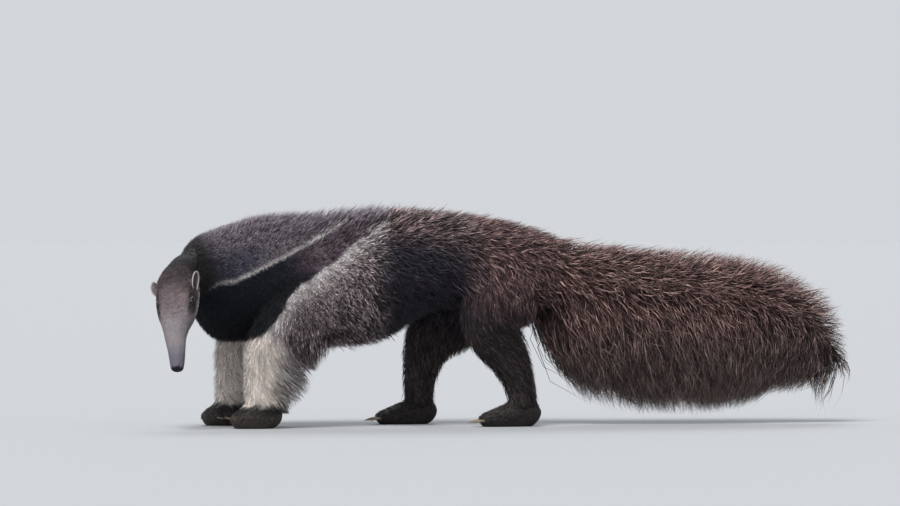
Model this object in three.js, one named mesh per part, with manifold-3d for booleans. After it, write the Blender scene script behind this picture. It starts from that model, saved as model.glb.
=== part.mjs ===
// A giant anteater, life size, standing in mid stride, its head turned to its left and hanging.
// Millimetres, +Z up. The animal walks towards -X and its left side is towards -Y.
// The group is set down so that the origin lies on the floor under the middle of the whole animal.
import * as THREE from "three";
import { mergeVertices } from "three/addons/utils/BufferGeometryUtils.js";
import Module from "manifold-3d";

const wasm = await Module();
wasm.setup();

// Driving dimensions
const BACK_HEIGHT = 400; // the trunk's middle line over the floor
const TRUNK_HALF = 143; // half the chest's width, with its short coat
const HEAD_LENGTH = 365;
const HEAD_HALF = 60; // half the head's width across the cheeks
const TAIL_LENGTH = 860; // from the rump to the end of the tail's coat
const FORE_TRACK = 110; // each forefoot's distance from the middle plane
const HIND_TRACK = 104;
const FAR_STEP = -52; // how far the right foreleg is ahead of the left
const EYE_RADIUS = 8.5;
const EAR_LENGTH = 58;
const EAR_HALF = 15;
const GAP = 0.35; // what touching pieces keep between them
const FACET_ROOM = 1.5; // how many gaps a part's room is wider, as its flat facets differ from the next part's
const FLATNESS = 0.1; // facets that differ by less are made one
const FACETS = { trunk: [24, 16], tail: [14, 10], head: [22, 13], leg: [14, 10], foot: [9, 9], claw: [5, 5] };

const vec = (x, y, z) => new THREE.Vector3(x, y, z);
const LEFTWARD = vec(0, -1, 0);

// A closed body swept through stations {at, core, coat}. Each section lies square to the path, and its
// reaches [half, over, under] are those to both sides and to its other two faces. The core is the body,
// and the coat is how far the tips of its hair reach.
class Body {
  constructor(stations, sideways) {
    const track = (points) => new THREE.CatmullRomCurve3(points, false, "catmullrom", 0.5);
    this.path = track(stations.map(({ at }) => vec(...at)));
    this.core = track(stations.map(({ core }) => vec(...core)));
    this.coat = track(stations.map(({ coat }) => vec(...coat)));
    this.sideways = sideways;
  }

  frame(t) {
    const along = this.path.getTangent(t);
    const over = new THREE.Vector3().crossVectors(this.sideways, along).normalize();
    const side = new THREE.Vector3().crossVectors(along, over);
    return { centre: this.path.getPoint(t), along, side, over };
  }

  // The surface at share t of the path, angle measured from the side towards the over face.
  point(t, angle, grow = 0, layer = this.core) {
    const { centre, side, over } = this.frame(t);
    const size = layer.getPoint(t);
    const reach = Math.sin(angle) >= 0 ? size.y : size.z;
    return centre
      .addScaledVector(side, Math.cos(angle) * (size.x + grow))
      .addScaledVector(over, Math.sin(angle) * (reach + grow));
  }

  normal(t, angle) {
    const nudge = 1e-3;
    const here = this.point(t, angle);
    const onward = this.point(Math.min(t + nudge, 1), angle).sub(this.point(Math.max(t - nudge, 0), angle));
    const round = this.point(t, angle + nudge).sub(here);
    return new THREE.Vector3().crossVectors(onward, round).normalize();
  }

  solid(rings, sides, grow = 0) {
    const points = [];
    for (let ring = 0; ring < rings; ring += 1) {
      for (let k = 0; k < sides; k += 1) {
        points.push(this.point(ring / (rings - 1), (k / sides) * 2 * Math.PI, grow));
      }
    }
    const ends = [this.frame(0), this.frame(1)];
    points.push(ends[0].centre.addScaledVector(ends[0].along, -grow));
    points.push(ends[1].centre.addScaledVector(ends[1].along, grow));
    const faces = [];
    for (let k = 0; k < sides; k += 1) {
      const next = (k + 1) % sides;
      for (let ring = 0; ring < rings - 1; ring += 1) {
        const [a, b] = [ring * sides + k, (ring + 1) * sides + k];
        const [c, d] = [(ring + 1) * sides + next, ring * sides + next];
        faces.push(a, b, c, a, c, d);
      }
      const lastRing = (rings - 1) * sides;
      faces.push(rings * sides, k, next);
      faces.push(rings * sides + 1, lastRing + next, lastRing + k);
    }
    return solidOf(new THREE.BufferGeometry().setFromPoints(points).setIndex(faces));
  }
}

function solidOf(geometry) {
  const bare = geometry.clone();
  bare.deleteAttribute("normal");
  bare.deleteAttribute("uv");
  const merged = mergeVertices(bare, 1e-3);
  const triVerts = new Uint32Array(merged.index.array);
  const vertProperties = new Float32Array(merged.attributes.position.array);
  return new wasm.Manifold(new wasm.Mesh({ numProp: 3, vertProperties, triVerts }));
}

function geometryOf(solid) {
  const { numProp, numVert, vertProperties, triVerts } = solid.getMesh();
  const positions = new Float32Array(numVert * 3);
  for (let i = 0; i < numVert; i += 1) {
    positions.set(vertProperties.subarray(i * numProp, i * numProp + 3), i * 3);
  }
  const geometry = new THREE.BufferGeometry();
  geometry.setAttribute("position", new THREE.BufferAttribute(positions, 3));
  geometry.setIndex(new THREE.BufferAttribute(new Uint32Array(triVerts), 1));
  return geometry;
}

const join = (solids) => solids.reduce((whole, piece) => whole.add(piece));

// A node keeps its largest closed surface.
function largest(solid) {
  const pieces = solid.decompose();
  return pieces.reduce((best, piece) => (piece.volume() > best.volume() ? piece : best));
}

// Everything on one side of a plane, as a block far larger than the animal.
function beyond(point, normal) {
  const far = 6000;
  const facing = new THREE.Quaternion().setFromUnitVectors(vec(0, 0, 1), normal.clone().normalize());
  const middle = point.clone().addScaledVector(normal.clone().normalize(), far / 2);
  const place = new THREE.Matrix4().compose(middle, facing, vec(1, 1, 1));
  return solidOf(new THREE.BoxGeometry(far, far, far).applyMatrix4(place));
}

// Splits a solid by a plane into what lies behind it and what lies ahead, a gap apart.
function part(solid, point, normal) {
  const half = normal.clone().normalize().multiplyScalar(GAP / 2);
  const ahead = solid.intersect(beyond(point.clone().add(half), normal));
  const behind = solid.intersect(beyond(point.clone().sub(half), normal.clone().negate()));
  return [behind, ahead];
}

function ellipsoid(centre, axes, reach, segments = 14) {
  const [x, y, z] = axes;
  const turn = new THREE.Matrix4().makeBasis(x, y, z).setPosition(centre);
  const ball = new THREE.SphereGeometry(1, segments, Math.round(segments * 0.7));
  return solidOf(ball.scale(...reach).applyMatrix4(turn));
}

const station = (at, core, coat = core) => ({ at, core, coat });

// Trunk and neck
const trunk = new Body(
  [
    station([-858, -64, BACK_HEIGHT + 20], [14, 14, 16]),
    station([-845, -61, BACK_HEIGHT + 18], [44, 50, 52]),
    station([-805, -50, BACK_HEIGHT + 15], [70, 84, 95]),
    station([-772, -36, BACK_HEIGHT + 14], [86, 120, 93], [90, 126, 98]),
    station([-712, -12, BACK_HEIGHT + 8], [106, 146, 156], [112, 158, 166]),
    station([-625, 0, BACK_HEIGHT], [121, 173, 164], [128, 193, 170]),
    station([-520, 0, BACK_HEIGHT], [134, 174, 172], [142, 205, 180]),
    station([-400, 0, BACK_HEIGHT + 2], [TRUNK_HALF - 6, 168, 170], [TRUNK_HALF + 4, 204, 188]),
    station([-270, 0, BACK_HEIGHT + 12], [132, 164, 152], [146, 208, 182]),
    station([-120, 0, BACK_HEIGHT + 25], [122, 148, 80], [138, 188, 112]),
    station([30, 0, BACK_HEIGHT + 28], [118, 128, 74], [134, 164, 104]),
    station([140, 0, BACK_HEIGHT + 18], [102, 114, 74], [124, 148, 100]),
    station([215, 0, BACK_HEIGHT + 8], [78, 102, 70], [104, 134, 96]),
    station([262, 0, BACK_HEIGHT + 2], [52, 76, 54], [84, 116, 84]),
    station([280, 0, BACK_HEIGHT], [20, 30, 22], [70, 104, 70]),
  ],
  LEFTWARD,
);

// Tail
const TAIL_END = 210 + TAIL_LENGTH;
const tail = new Body(
  [
    station([165, 0, 400], [44, 60, 56], [60, 104, 70]),
    station([250, 0, 392], [56, 92, 84], [84, 130, 200]),
    station([345, 0, 384], [58, 86, 122], [94, 128, 290]),
    station([450, 0, 372], [58, 82, 146], [100, 130, 318]),
    station([600, 0, 360], [56, 78, 152], [102, 132, 318]),
    station([750, 0, 342], [51, 72, 142], [98, 136, 300]),
    station([860, 0, 314], [42, 62, 118], [88, 134, 272]),
    station([940, 0, 280], [31, 46, 84], [74, 120, 236]),
    station([1000, 0, 240], [18, 26, 44], [60, 102, 184]),
    station([1040, 0, 208], [8, 11, 14], [48, 64, 152]),
    station([TAIL_END, 0, 180], [4, 5, 5], [34, 26, 112]),
  ],
  LEFTWARD,
);

// Head: its axes follow from the turn to the left, the hang of the muzzle and a slight roll
const HEAD_TILT = THREE.MathUtils.degToRad(28); // how far the muzzle swings out of the upright
const HEAD_ROLL = THREE.MathUtils.degToRad(15);
const facing = vec(-0.174, -0.985, 0); // where the face looks
const rightHand = vec(0.985, -0.174, 0);
const muzzleward = vec(0, 0, -Math.cos(HEAD_TILT))
  .addScaledVector(facing, Math.sin(HEAD_TILT))
  .addScaledVector(rightHand, 0.004)
  .normalize();
const brow = new THREE.Vector3().crossVectors(muzzleward, rightHand).normalize();
const headLeft = rightHand
  .clone()
  .multiplyScalar(Math.cos(HEAD_ROLL))
  .addScaledVector(brow, Math.sin(HEAD_ROLL));
const muzzleTip = vec(-854, -242, 165);
// How far the muzzle's middle line bends to the head's right
const muzzleBow = (fromTip) =>
  7 * Math.exp(-(((fromTip - 115) / 55) ** 2)) +
  3.5 * THREE.MathUtils.smoothstep(fromTip, 120, 210) -
  36 * THREE.MathUtils.smoothstep(fromTip, 262, HEAD_LENGTH);
const headAt = (fromTip) =>
  muzzleTip
    .clone()
    .addScaledVector(muzzleward, -fromTip)
    .addScaledVector(rightHand, -muzzleBow(fromTip))
    .toArray();
const headStation = (fromTip, ...core) => station(headAt(fromTip), core);
const EYE_FROM_TIP = 196;
const EAR_FROM_TIP = 228;
const headStations = [
  headStation(0, 9, 8, 9),
  headStation(3, 14, 13, 14),
  headStation(10, 18, 17, 17),
  headStation(32, 21, 20, 20),
  headStation(66, 25, 23, 24),
  headStation(98, 30, 27, 30),
  headStation(130, 38, 32, 38),
  headStation(160, 51, 37, 46),
  headStation(EYE_FROM_TIP, HEAD_HALF - 1, 42, 52),
  headStation(EAR_FROM_TIP, HEAD_HALF + 1, 47, 57),
  headStation(263, HEAD_HALF - 1, 50, 58),
  headStation(295, HEAD_HALF - 15, 46, 54),
  headStation(328, 31, 37, 44),
  headStation(352, 21, 23, 28),
  headStation(HEAD_LENGTH, 10, 10, 10),
];
const head = new Body(headStations, headLeft);
const headShare = (fromTip) => {
  const index = headStations.findIndex((s) => vec(...s.at).distanceTo(muzzleTip) > fromTip - 0.01);
  return index / (headStations.length - 1);
};
const EYE_DEPTH = 0.78; // how deep the eye's centre lies, as a share of its radius
const EYE_ANGLE = THREE.MathUtils.degToRad(30); // over the side line of the head
const eyeSides = { left: EYE_ANGLE, right: Math.PI - EYE_ANGLE };

function eyePlace(angle) {
  const share = headShare(EYE_FROM_TIP);
  const out = head.normal(share, angle);
  const along = muzzleward.clone().negate();
  const up = new THREE.Vector3().crossVectors(out, along).normalize();
  return { centre: head.point(share, angle).addScaledVector(out, -EYE_RADIUS * EYE_DEPTH), out, along, up };
}

const eyeball = (angle, grow = 0) => {
  const { centre, out, along, up } = eyePlace(angle);
  const reach = EYE_RADIUS + grow;
  return ellipsoid(centre, [along, up, out], [reach, reach, reach], 10);
};

// Lids: a low swelling round the eye with an almond opening, long way along the head.
function lids(angle) {
  const { centre, out, along, up } = eyePlace(angle);
  const rim = centre.clone().addScaledVector(out, EYE_RADIUS * 0.3);
  const reach = [EYE_RADIUS + 9, EYE_RADIUS + 5.5, EYE_RADIUS * 0.88];
  return ellipsoid(rim, [along, up, out], reach, 10);
}

function lidOpening(angle) {
  const { centre, out, along, up } = eyePlace(angle);
  const front = centre.clone().addScaledVector(out, EYE_RADIUS * 1.1);
  return ellipsoid(front, [along, up, out], [EYE_RADIUS * 0.95, EYE_RADIUS * 0.62, EYE_RADIUS], 8);
}

function nostril(side) {
  const share = headShare(3);
  const at = head.point(share, THREE.MathUtils.degToRad(side === "left" ? 48 : 132), -1);
  const slant = headLeft.clone().multiplyScalar(side === "left" ? 0.6 : -0.6).add(brow).normalize();
  const across = new THREE.Vector3().crossVectors(muzzleward, slant).normalize();
  return ellipsoid(at, [slant, across, muzzleward], [4.6, 1.9, 6], 6);
}

// The small mouth: a slit that runs back from under the tip, open along both sides.
function mouthSlit() {
  const centre = muzzleTip.clone().addScaledVector(muzzleward, -14).addScaledVector(brow, -9);
  const slope = muzzleward.clone().addScaledVector(brow, 0.1).normalize();
  const thick = new THREE.Vector3().crossVectors(slope, headLeft).normalize();
  return ellipsoid(centre, [slope, headLeft, thick], [28, 30, 0.9], 8);
}

function headSolid() {
  let whole = head.solid(...FACETS.head);
  for (const angle of Object.values(eyeSides)) whole = whole.add(lids(angle));
  for (const angle of Object.values(eyeSides)) {
    whole = whole.subtract(eyeball(angle, GAP)).subtract(lidOpening(angle));
  }
  whole = whole.subtract(nostril("left")).subtract(nostril("right"));
  return whole.subtract(mouthSlit());
}

// Ears: upright cups, each with its own set. The mouth's parts are outward, towards the brow and muzzleward.
const earSets = {
  left: { angle: THREE.MathUtils.degToRad(17), back: 0.9, out: 0.1, up: 0.4, mouth: [0.7, 0.3, 0.65] },
  right: { angle: THREE.MathUtils.degToRad(172), back: 0.9, out: 0.3, up: -0.15, mouth: [0.34, 0.93, 0.37] },
};

function earSolid(side) {
  const set = earSets[side];
  const outward = headLeft.clone().multiplyScalar(side === "left" ? 1 : -1);
  const rise = muzzleward
    .clone()
    .multiplyScalar(-set.back)
    .addScaledVector(outward, set.out)
    .addScaledVector(brow, set.up)
    .normalize();
  const mouth = outward
    .clone()
    .multiplyScalar(set.mouth[0])
    .addScaledVector(brow, set.mouth[1])
    .addScaledVector(muzzleward, set.mouth[2]);
  mouth.addScaledVector(rise, -mouth.dot(rise)).normalize();
  const across = new THREE.Vector3().crossVectors(rise, mouth).normalize();
  const root = head.point(headShare(EAR_FROM_TIP), set.angle, -6);
  const middle = root.clone().addScaledVector(rise, EAR_LENGTH * 0.5);
  const axes = [across, rise, mouth];
  const shell = ellipsoid(middle, axes, [EAR_HALF, EAR_LENGTH * 0.52, 10], 12);
  const hollow = ellipsoid(
    middle.clone().addScaledVector(mouth, 7).addScaledVector(rise, 2),
    axes,
    [EAR_HALF - 3, EAR_LENGTH * 0.46, 11],
    10,
  );
  return shell.subtract(hollow);
}

// Legs: each path climbs from the wrist or ankle into the trunk, so that over is its front.
const mirrored = (side, y) => (side === "left" ? -y : y);

function foreleg(side) {
  const shift = side === "left" ? 0 : FAR_STEP;
  const at = (x, inset, z) => {
    const lead = shift * THREE.MathUtils.clamp((480 - z) / 200, 0, 1);
    return [x + lead, mirrored(side, FORE_TRACK - inset), z];
  };
  return new Body(
    [
      station(at(-600, 2, 40), [44, 50, 50], [46, 52, 74]),
      station(at(-600, 0, 90), [45, 54, 58], [50, 60, 128]),
      station(at(-595, -2, 150), [51, 58, 70], [57, 66, 136]),
      station(at(-580, -4, 215), [58, 70, 88], [64, 80, 142]),
      station(at(-530, -2, 285), [62, 82, 98], [70, 90, 148]),
      station(at(-465, 6, 355), [60, 78, 102], [68, 86, 140]),
      station(at(-400, 36, 430), [50, 80, 88], [56, 86, 108]),
      station(at(-358, 66, 485), [32, 56, 56], [36, 60, 64]),
      station(at(-338, 80, 510), [14, 22, 22]),
    ],
    LEFTWARD,
  );
}

const HIND_PLACES = {
  left: [
    [128, 50],
    [122, 95],
    [102, 150],
    [72, 205],
    [46, 262],
    [56, 330],
    [92, 400],
    [124, 460],
    [138, 490],
  ],
  right: [
    [-130, 50],
    [-134, 95],
    [-130, 150],
    [-118, 205],
    [-84, 262],
    [-10, 330],
    [60, 400],
    [112, 460],
    [130, 490],
  ],
};

function hindleg(side) {
  const cores = [
    [36, 40, 40],
    [35, 38, 40],
    [38, 42, 48],
    [44, 54, 62],
    [51, 80, 78],
    [56, 98, 88],
    [53, 100, 90],
    [40, 74, 70],
    [16, 26, 26],
  ];
  const hair = [2, 4, 10, 18, 26, 30, 26, 12, 4]; // how far the coat stands out behind, above the ankle
  const inset = [0, 0, 0, 1, 2, 6, 20, 62, 82];
  return new Body(
    HIND_PLACES[side].map(([x, z], i) => {
      const [half, over, under] = cores[i];
      const coat = [half + hair[i] / 3, over + hair[i] / 3, under + hair[i]];
      return station([x, mirrored(side, HIND_TRACK - inset[i]), z], cores[i], coat);
    }),
    LEFTWARD,
  );
}

// Feet
const WRIST = 74;
const ANKLE = 66;

const forefootX = (side) => -600 + (side === "left" ? 0 : FAR_STEP);

function forefootBody(side) {
  const x = forefootX(side);
  const y = mirrored(side, FORE_TRACK);
  return new Body(
    [
      station([x + 52, y, 24], [12, 12, 12]),
      station([x + 44, y, 27], [30, 26, 30]),
      station([x + 16, y, 38], [43, 50, 60]),
      station([x - 20, y, 36], [48, 46, 60]),
      station([x - 54, y, 28], [46, 31, 50]),
      station([x - 80, y, 21], [35, 20, 32]),
      station([x - 90, y, 17], [14, 9, 12]),
    ],
    LEFTWARD.clone().negate(),
  );
}

function hindfootBody(side) {
  const x = HIND_PLACES[side][0][0];
  const y = mirrored(side, HIND_TRACK);
  return new Body(
    [
      station([x + 52, y, 26], [12, 12, 14]),
      station([x + 42, y, 30], [28, 28, 34]),
      station([x + 8, y, 40], [36, 40, 60]),
      station([x - 40, y, 32], [38, 34, 50]),
      station([x - 84, y, 24], [40, 24, 40]),
      station([x - 112, y, 18], [34, 17, 24]),
      station([x - 120, y, 15], [18, 8, 12]),
    ],
    LEFTWARD.clone().negate(),
  );
}

const onFloor = (solid) => solid.intersect(beyond(vec(0, 0, 0), vec(0, 0, 1)));

// A claw: an arc of round sections that taper to a point, from its root along `out`, bending towards `bend`.
function claw(root, out, bend, length, thick, turn) {
  const steps = 3;
  const side = new THREE.Vector3().crossVectors(out, bend).normalize();
  const stations = [];
  const place = root.clone();
  const heading = out.clone().normalize();
  for (let i = 0; i <= steps; i += 1) {
    const size = thick * (1 - 0.86 * (i / steps) ** 1.3);
    stations.push(station(place.toArray(), [size * 0.72, size, size]));
    place.addScaledVector(heading, length / steps);
    heading.applyAxisAngle(side, turn / steps);
  }
  return new Body(stations, side).solid(...FACETS.claw);
}

// The forefoot's claws fold inward under the animal and curve back; the second and third are the great ones.
const FORECLAWS = [
  { length: 52, thick: 6.5 },
  { length: 86, thick: 9 },
  { length: 100, thick: 10.5 },
  { length: 46, thick: 6 },
];

function foreclaw(side, index) {
  const { length, thick } = FORECLAWS[index];
  const inward = side === "left" ? 1 : -1;
  const x = forefootX(side) - 52 + index * 25;
  const root = vec(x, mirrored(side, FORE_TRACK - 16), 24);
  return claw(root, vec(-0.2, inward, -0.06), vec(1, 0, 0), length, thick, 1.1);
}

const HIND_TOES = 5;

function hindclaw(side, index) {
  const fromMiddle = index - (HIND_TOES - 1) / 2;
  const x = HIND_PLACES[side][0][0] - 100 - 12 + Math.abs(fromMiddle) * 6;
  const root = vec(x, mirrored(side, HIND_TRACK) + fromMiddle * 13, 17);
  return claw(root, vec(-1, fromMiddle * 0.06, 0.12), vec(0, 0, -1), 44, 5.5, 0.6);
}

// Coat: flat locks with a low ridge, each from under the skin to where the coat's outline is further on.
const LOCK_RINGS = [
  { share: 0, width: 0.74, ridge: 1 },
  { share: 0.36, width: 1, ridge: 1 },
  { share: 0.72, width: 0.66, ridge: 0.75 },
];
const ROOT_DEPTH = 11;
const FLOOR_CLEARANCE = 12; // how far the lowest hair stays off the floor
const LOCK_ROOM = { below: 1.3, beside: 7, over: 3, beyond: 9 }; // gaps that a lock's room is wider each way

function seeded(seed) {
  let state = seed;
  return () => {
    state = (state + 0x6d2b79f5) | 0;
    let mixed = Math.imul(state ^ (state >>> 15), 1 | state);
    mixed = (mixed + Math.imul(mixed ^ (mixed >>> 7), 61 | mixed)) ^ mixed;
    return ((mixed ^ (mixed >>> 14)) >>> 0) / 2 ** 32;
  };
}

// `around` runs from the middle of the over face, 0, to the middle of the under face, 180 or -180.
const angleOf = (around) => THREE.MathUtils.degToRad(90 - around);

// Plans rows of locks on a body. Each row lies at one share of the path, with a lock at each of `fans`.
// `run` and `turn` say how far along and how far round the tip lies from the root, and `arch` how far the
// lock rises over the straight line between them, as a share of its length.
function comb(body, { rows, from, to, fans, run, turn, arch, width, ridge }, random) {
  const vary = (size, spread) => size * (1 + spread * (2 * random() - 1));
  const locks = [];
  for (let row = 0; row < rows; row += 1) {
    for (const fan of fans) {
      const step = rows > 1 ? row / (rows - 1) : 0;
      const t = THREE.MathUtils.lerp(from, to, step) + (random() - 0.5) * Math.abs(run(fan)) * 0.25;
      const around = fan + (random() - 0.5) * 14;
      const tipT = THREE.MathUtils.clamp(t + vary(run(fan), 0.15), 0, 1);
      const tipAround = around + Math.sign(fan) * turn(fan) + (random() - 0.5) * 8;
      const root = body.point(t, angleOf(around));
      const tip = body.point(tipT, angleOf(tipAround), vary(-4, 1), body.coat);
      tip.z = Math.max(tip.z, FLOOR_CLEARANCE);
      const face = body.normal(t, angleOf(around));
      locks.push({ root, tip, face, arch: arch(fan), width: vary(width, 0.15), ridge: vary(ridge, 0.15) });
    }
  }
  return locks;
}

// One lock as a solid. With room, it is the space that other parts leave round the lock.
function lockSolid({ root, tip, face, arch, width, ridge }, room) {
  const length = root.distanceTo(tip);
  const bulge = root.clone().lerp(tip, 0.5).addScaledVector(face, length * arch);
  const start = root.clone().addScaledVector(face, -ROOT_DEPTH);
  const curve = new THREE.QuadraticBezierCurve3(start, bulge, tip);
  const points = [];
  for (const ring of LOCK_RINGS) {
    const centre = curve.getPoint(ring.share);
    const along = curve.getTangent(ring.share);
    const across = new THREE.Vector3().crossVectors(along, face).normalize();
    const up = new THREE.Vector3().crossVectors(across, along).normalize();
    centre.addScaledVector(up, -room * LOCK_ROOM.below);
    const half = (width * ring.width) / 2 + room * LOCK_ROOM.beside;
    points.push(centre.clone().addScaledVector(across, half));
    points.push(centre.clone().addScaledVector(up, ridge * ring.ridge + room * LOCK_ROOM.over));
    points.push(centre.clone().addScaledVector(across, -half));
  }
  points.push(curve.getTangent(1).multiplyScalar(room * LOCK_ROOM.beyond).add(tip));
  const faces = [0, 1, 2];
  const rings = LOCK_RINGS.length;
  for (let k = 0; k < 3; k += 1) {
    const next = (k + 1) % 3;
    for (let ring = 0; ring < rings - 1; ring += 1) {
      const [a, b] = [ring * 3 + k, (ring + 1) * 3 + k];
      const [c, d] = [(ring + 1) * 3 + next, ring * 3 + next];
      faces.push(a, b, c, a, c, d);
    }
    const lastRing = (rings - 1) * 3;
    faces.push(lastRing + k, rings * 3, lastRing + next);
  }
  return solidOf(new THREE.BufferGeometry().setFromPoints(points).setIndex(faces));
}

const dressed = (core, locks, room) => join([core, ...locks.map((lock) => lockSolid(lock, room))]);

// Where hair lies along the body on top, and falls ever more towards the floor on its sides.
const random = seeded(11);
const sides = (fans) => [...fans.map((fan) => -fan), ...fans];

const tailLocks = comb(
  tail,
  {
    rows: 8,
    from: 0.07,
    to: 0.87,
    fans: sides([17, 52, 88, 124, 156]),
    run: (fan) => 0.27 - (0.14 * Math.abs(fan)) / 180,
    turn: (fan) => 30 * Math.sin(THREE.MathUtils.degToRad(Math.abs(fan))),
    arch: (fan) => 0.02 + (0.09 * Math.abs(fan)) / 180,
    width: 64,
    ridge: 9,
  },
  random,
);
const crestLocks = comb(
  trunk,
  {
    rows: 12,
    from: 0.35,
    to: 0.86,
    fans: sides([10]),
    run: () => 0.105,
    turn: () => -5,
    arch: () => 0.02,
    width: 44,
    ridge: 10,
  },
  random,
);
const flankLocks = comb(
  trunk,
  {
    rows: 6,
    from: 0.5,
    to: 0.76,
    fans: sides([96, 122]),
    run: () => 0.07,
    turn: () => 24,
    arch: () => 0.1,
    width: 50,
    ridge: 8,
  },
  random,
);
const rumpLocks = comb(
  trunk,
  {
    rows: 3,
    from: 0.76,
    to: 0.9,
    fans: sides([46, 84]),
    run: () => 0.15,
    turn: () => 12,
    arch: () => 0.06,
    width: 56,
    ridge: 8,
  },
  random,
);
const outward = (side, fans) => fans.map((fan) => (side === "left" ? fan : -fan));
const thighLocks = (leg, side) =>
  comb(
    leg,
    {
      rows: 3,
      from: 0.5,
      to: 0.74,
      fans: outward(side, [90, 145]),
      run: () => -0.24,
      turn: () => 12,
      arch: () => 0.08,
      width: 66,
      ridge: 8,
    },
    random,
  );
const armLocks = (leg, side) =>
  comb(
    leg,
    {
      rows: 3,
      from: 0.5,
      to: 0.72,
      fans: outward(side, [128, 160, -160]),
      run: () => -0.2,
      turn: () => 8,
      arch: () => 0.08,
      width: 42,
      ridge: 8,
    },
    random,
  );
const forearmLocks = (leg, side) =>
  comb(
    leg,
    {
      rows: 2,
      from: 0.28,
      to: 0.4,
      fans: outward(side, [140, -175]),
      run: () => -0.17,
      turn: () => 5,
      arch: () => 0.08,
      width: 40,
      ridge: 8,
    },
    random,
  );

// Colours, as seen on the coat
const paint = (hex, roughness) => new THREE.MeshStandardMaterial({ color: hex, roughness, metalness: 0 });
const coats = {
  face: paint(0x6f645c, 0.85),
  dusky: paint(0x3a3230, 0.9),
  black: paint(0x17151a, 0.9),
  grizzled: paint(0x5d524c, 0.9),
  brown: paint(0x3d2c26, 0.9),
  white: paint(0xb3a99a, 0.9),
  horn: paint(0x6b5f50, 0.45),
  eye: paint(0x120d0a, 0.1),
};

const animal = new THREE.Group();
const taken = []; // the room round each part that later ones keep clear of

function add(name, solid, coat) {
  const mesh = new THREE.Mesh(geometryOf(largest(solid)), coats[coat]);
  mesh.name = name;
  animal.add(mesh);
}

// Adds a part cut clear of those before it. shape(room) builds it, with room round it where asked.
function fit(name, coat, shape) {
  const clear = taken.reduce((solid, room) => solid.subtract(room), shape(0));
  add(name, largest(clear).simplify(FLATNESS), coat);
  taken.push(shape(GAP));
}

const NECK_CUT = [vec(-650, 0, 400), vec(1, 0, 0.25)];
add("head", headSolid(), "face");
taken.push(head.solid(...FACETS.head, GAP * FACET_ROOM));
for (const side of ["left", "right"]) {
  add(`eye_${side}`, eyeball(eyeSides[side]), "eye");
  fit(`ear_${side}`, "face", () => earSolid(side));
}
const trunkSolid = (room) => trunk.solid(...FACETS.trunk, room * FACET_ROOM);
fit("neck", "dusky", (room) => part(trunkSolid(room), ...NECK_CUT)[0]);
// The torso's room takes in the cut to the neck, which later parts would otherwise fill.
fit("torso", "grizzled", (room) => {
  const barrel = room ? trunkSolid(room) : part(trunkSolid(0), ...NECK_CUT)[1];
  return dressed(barrel, [...crestLocks, ...flankLocks, ...rumpLocks], room);
});
fit("tail", "brown", (room) => dressed(tail.solid(...FACETS.tail, room * FACET_ROOM), tailLocks, room));

const KNEE_CUTS = {
  left: [vec(46, 0, 225), vec(-0.2, 0, 1)],
  right: [vec(-84, 0, 225), vec(0.1, 0, 1)],
};
const ELBOW_CUT = [vec(-560, 0, 225), vec(0.25, 0, 1)];
const WRIST_CUT = [vec(0, 0, WRIST), vec(0, 0, 1)];
const ANKLE_CUT = [vec(0, 0, ANKLE), vec(0, 0, 1)];
for (const side of ["left", "right"]) {
  const fore = foreleg(side);
  const foreSolid = (room) => fore.solid(...FACETS.leg, room * FACET_ROOM);
  const armHair = armLocks(fore, side);
  const forearmHair = forearmLocks(fore, side);
  fit(`upper_arm_${side}`, "grizzled", (room) =>
    dressed(part(foreSolid(room), ...ELBOW_CUT)[1], armHair, room),
  );
  fit(`forearm_${side}`, "white", (room) => {
    const shank = part(part(foreSolid(room), ...ELBOW_CUT)[0], ...WRIST_CUT)[1];
    return dressed(shank, forearmHair, room);
  });
  fit(`forefoot_${side}`, "black", (room) => {
    const wrist = part(foreSolid(room), ...WRIST_CUT)[0];
    const paw = forefootBody(side).solid(...FACETS.foot, room);
    return onFloor(part(paw.add(wrist), ...WRIST_CUT)[0]);
  });
  FORECLAWS.forEach((size, index) => {
    fit(`foreclaw_${side}_${index + 1}`, "horn", () => onFloor(foreclaw(side, index)));
  });

  const hind = hindleg(side);
  const hindSolid = (room) => hind.solid(...FACETS.leg, room * FACET_ROOM);
  const kneeCut = KNEE_CUTS[side];
  const thighHair = thighLocks(hind, side);
  fit(`thigh_${side}`, "brown", (room) => dressed(part(hindSolid(room), ...kneeCut)[1], thighHair, room));
  fit(`shank_${side}`, "brown", (room) => part(part(hindSolid(room), ...kneeCut)[0], ...ANKLE_CUT)[1]);
  fit(`hindfoot_${side}`, "black", (room) => {
    const ankle = part(hindSolid(room), ...ANKLE_CUT)[0];
    const sole = hindfootBody(side).solid(...FACETS.foot, room);
    return onFloor(part(sole.add(ankle), ...ANKLE_CUT)[0]);
  });
  for (let index = 0; index < HIND_TOES; index += 1) {
    fit(`hindclaw_${side}_${index + 1}`, "horn", () => onFloor(hindclaw(side, index)));
  }
}

const reach = new THREE.Box3().setFromObject(animal);
const middle = reach.getCenter(new THREE.Vector3());
animal.position.set(-middle.x, -middle.y, -reach.min.z);

export default animal;
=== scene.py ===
# A giant anteater, life size, as a still model: one skin, its coat in tufts, and eyes, ears and claws.
# Body sizes are in millimetres in the model's own axes: -X is ahead, -Y its left side, +Z up.
import math
from types import SimpleNamespace

import bmesh
import bpy
import numpy as np
from mathutils import Matrix, Vector
from mathutils.bvhtree import BVHTree


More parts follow.
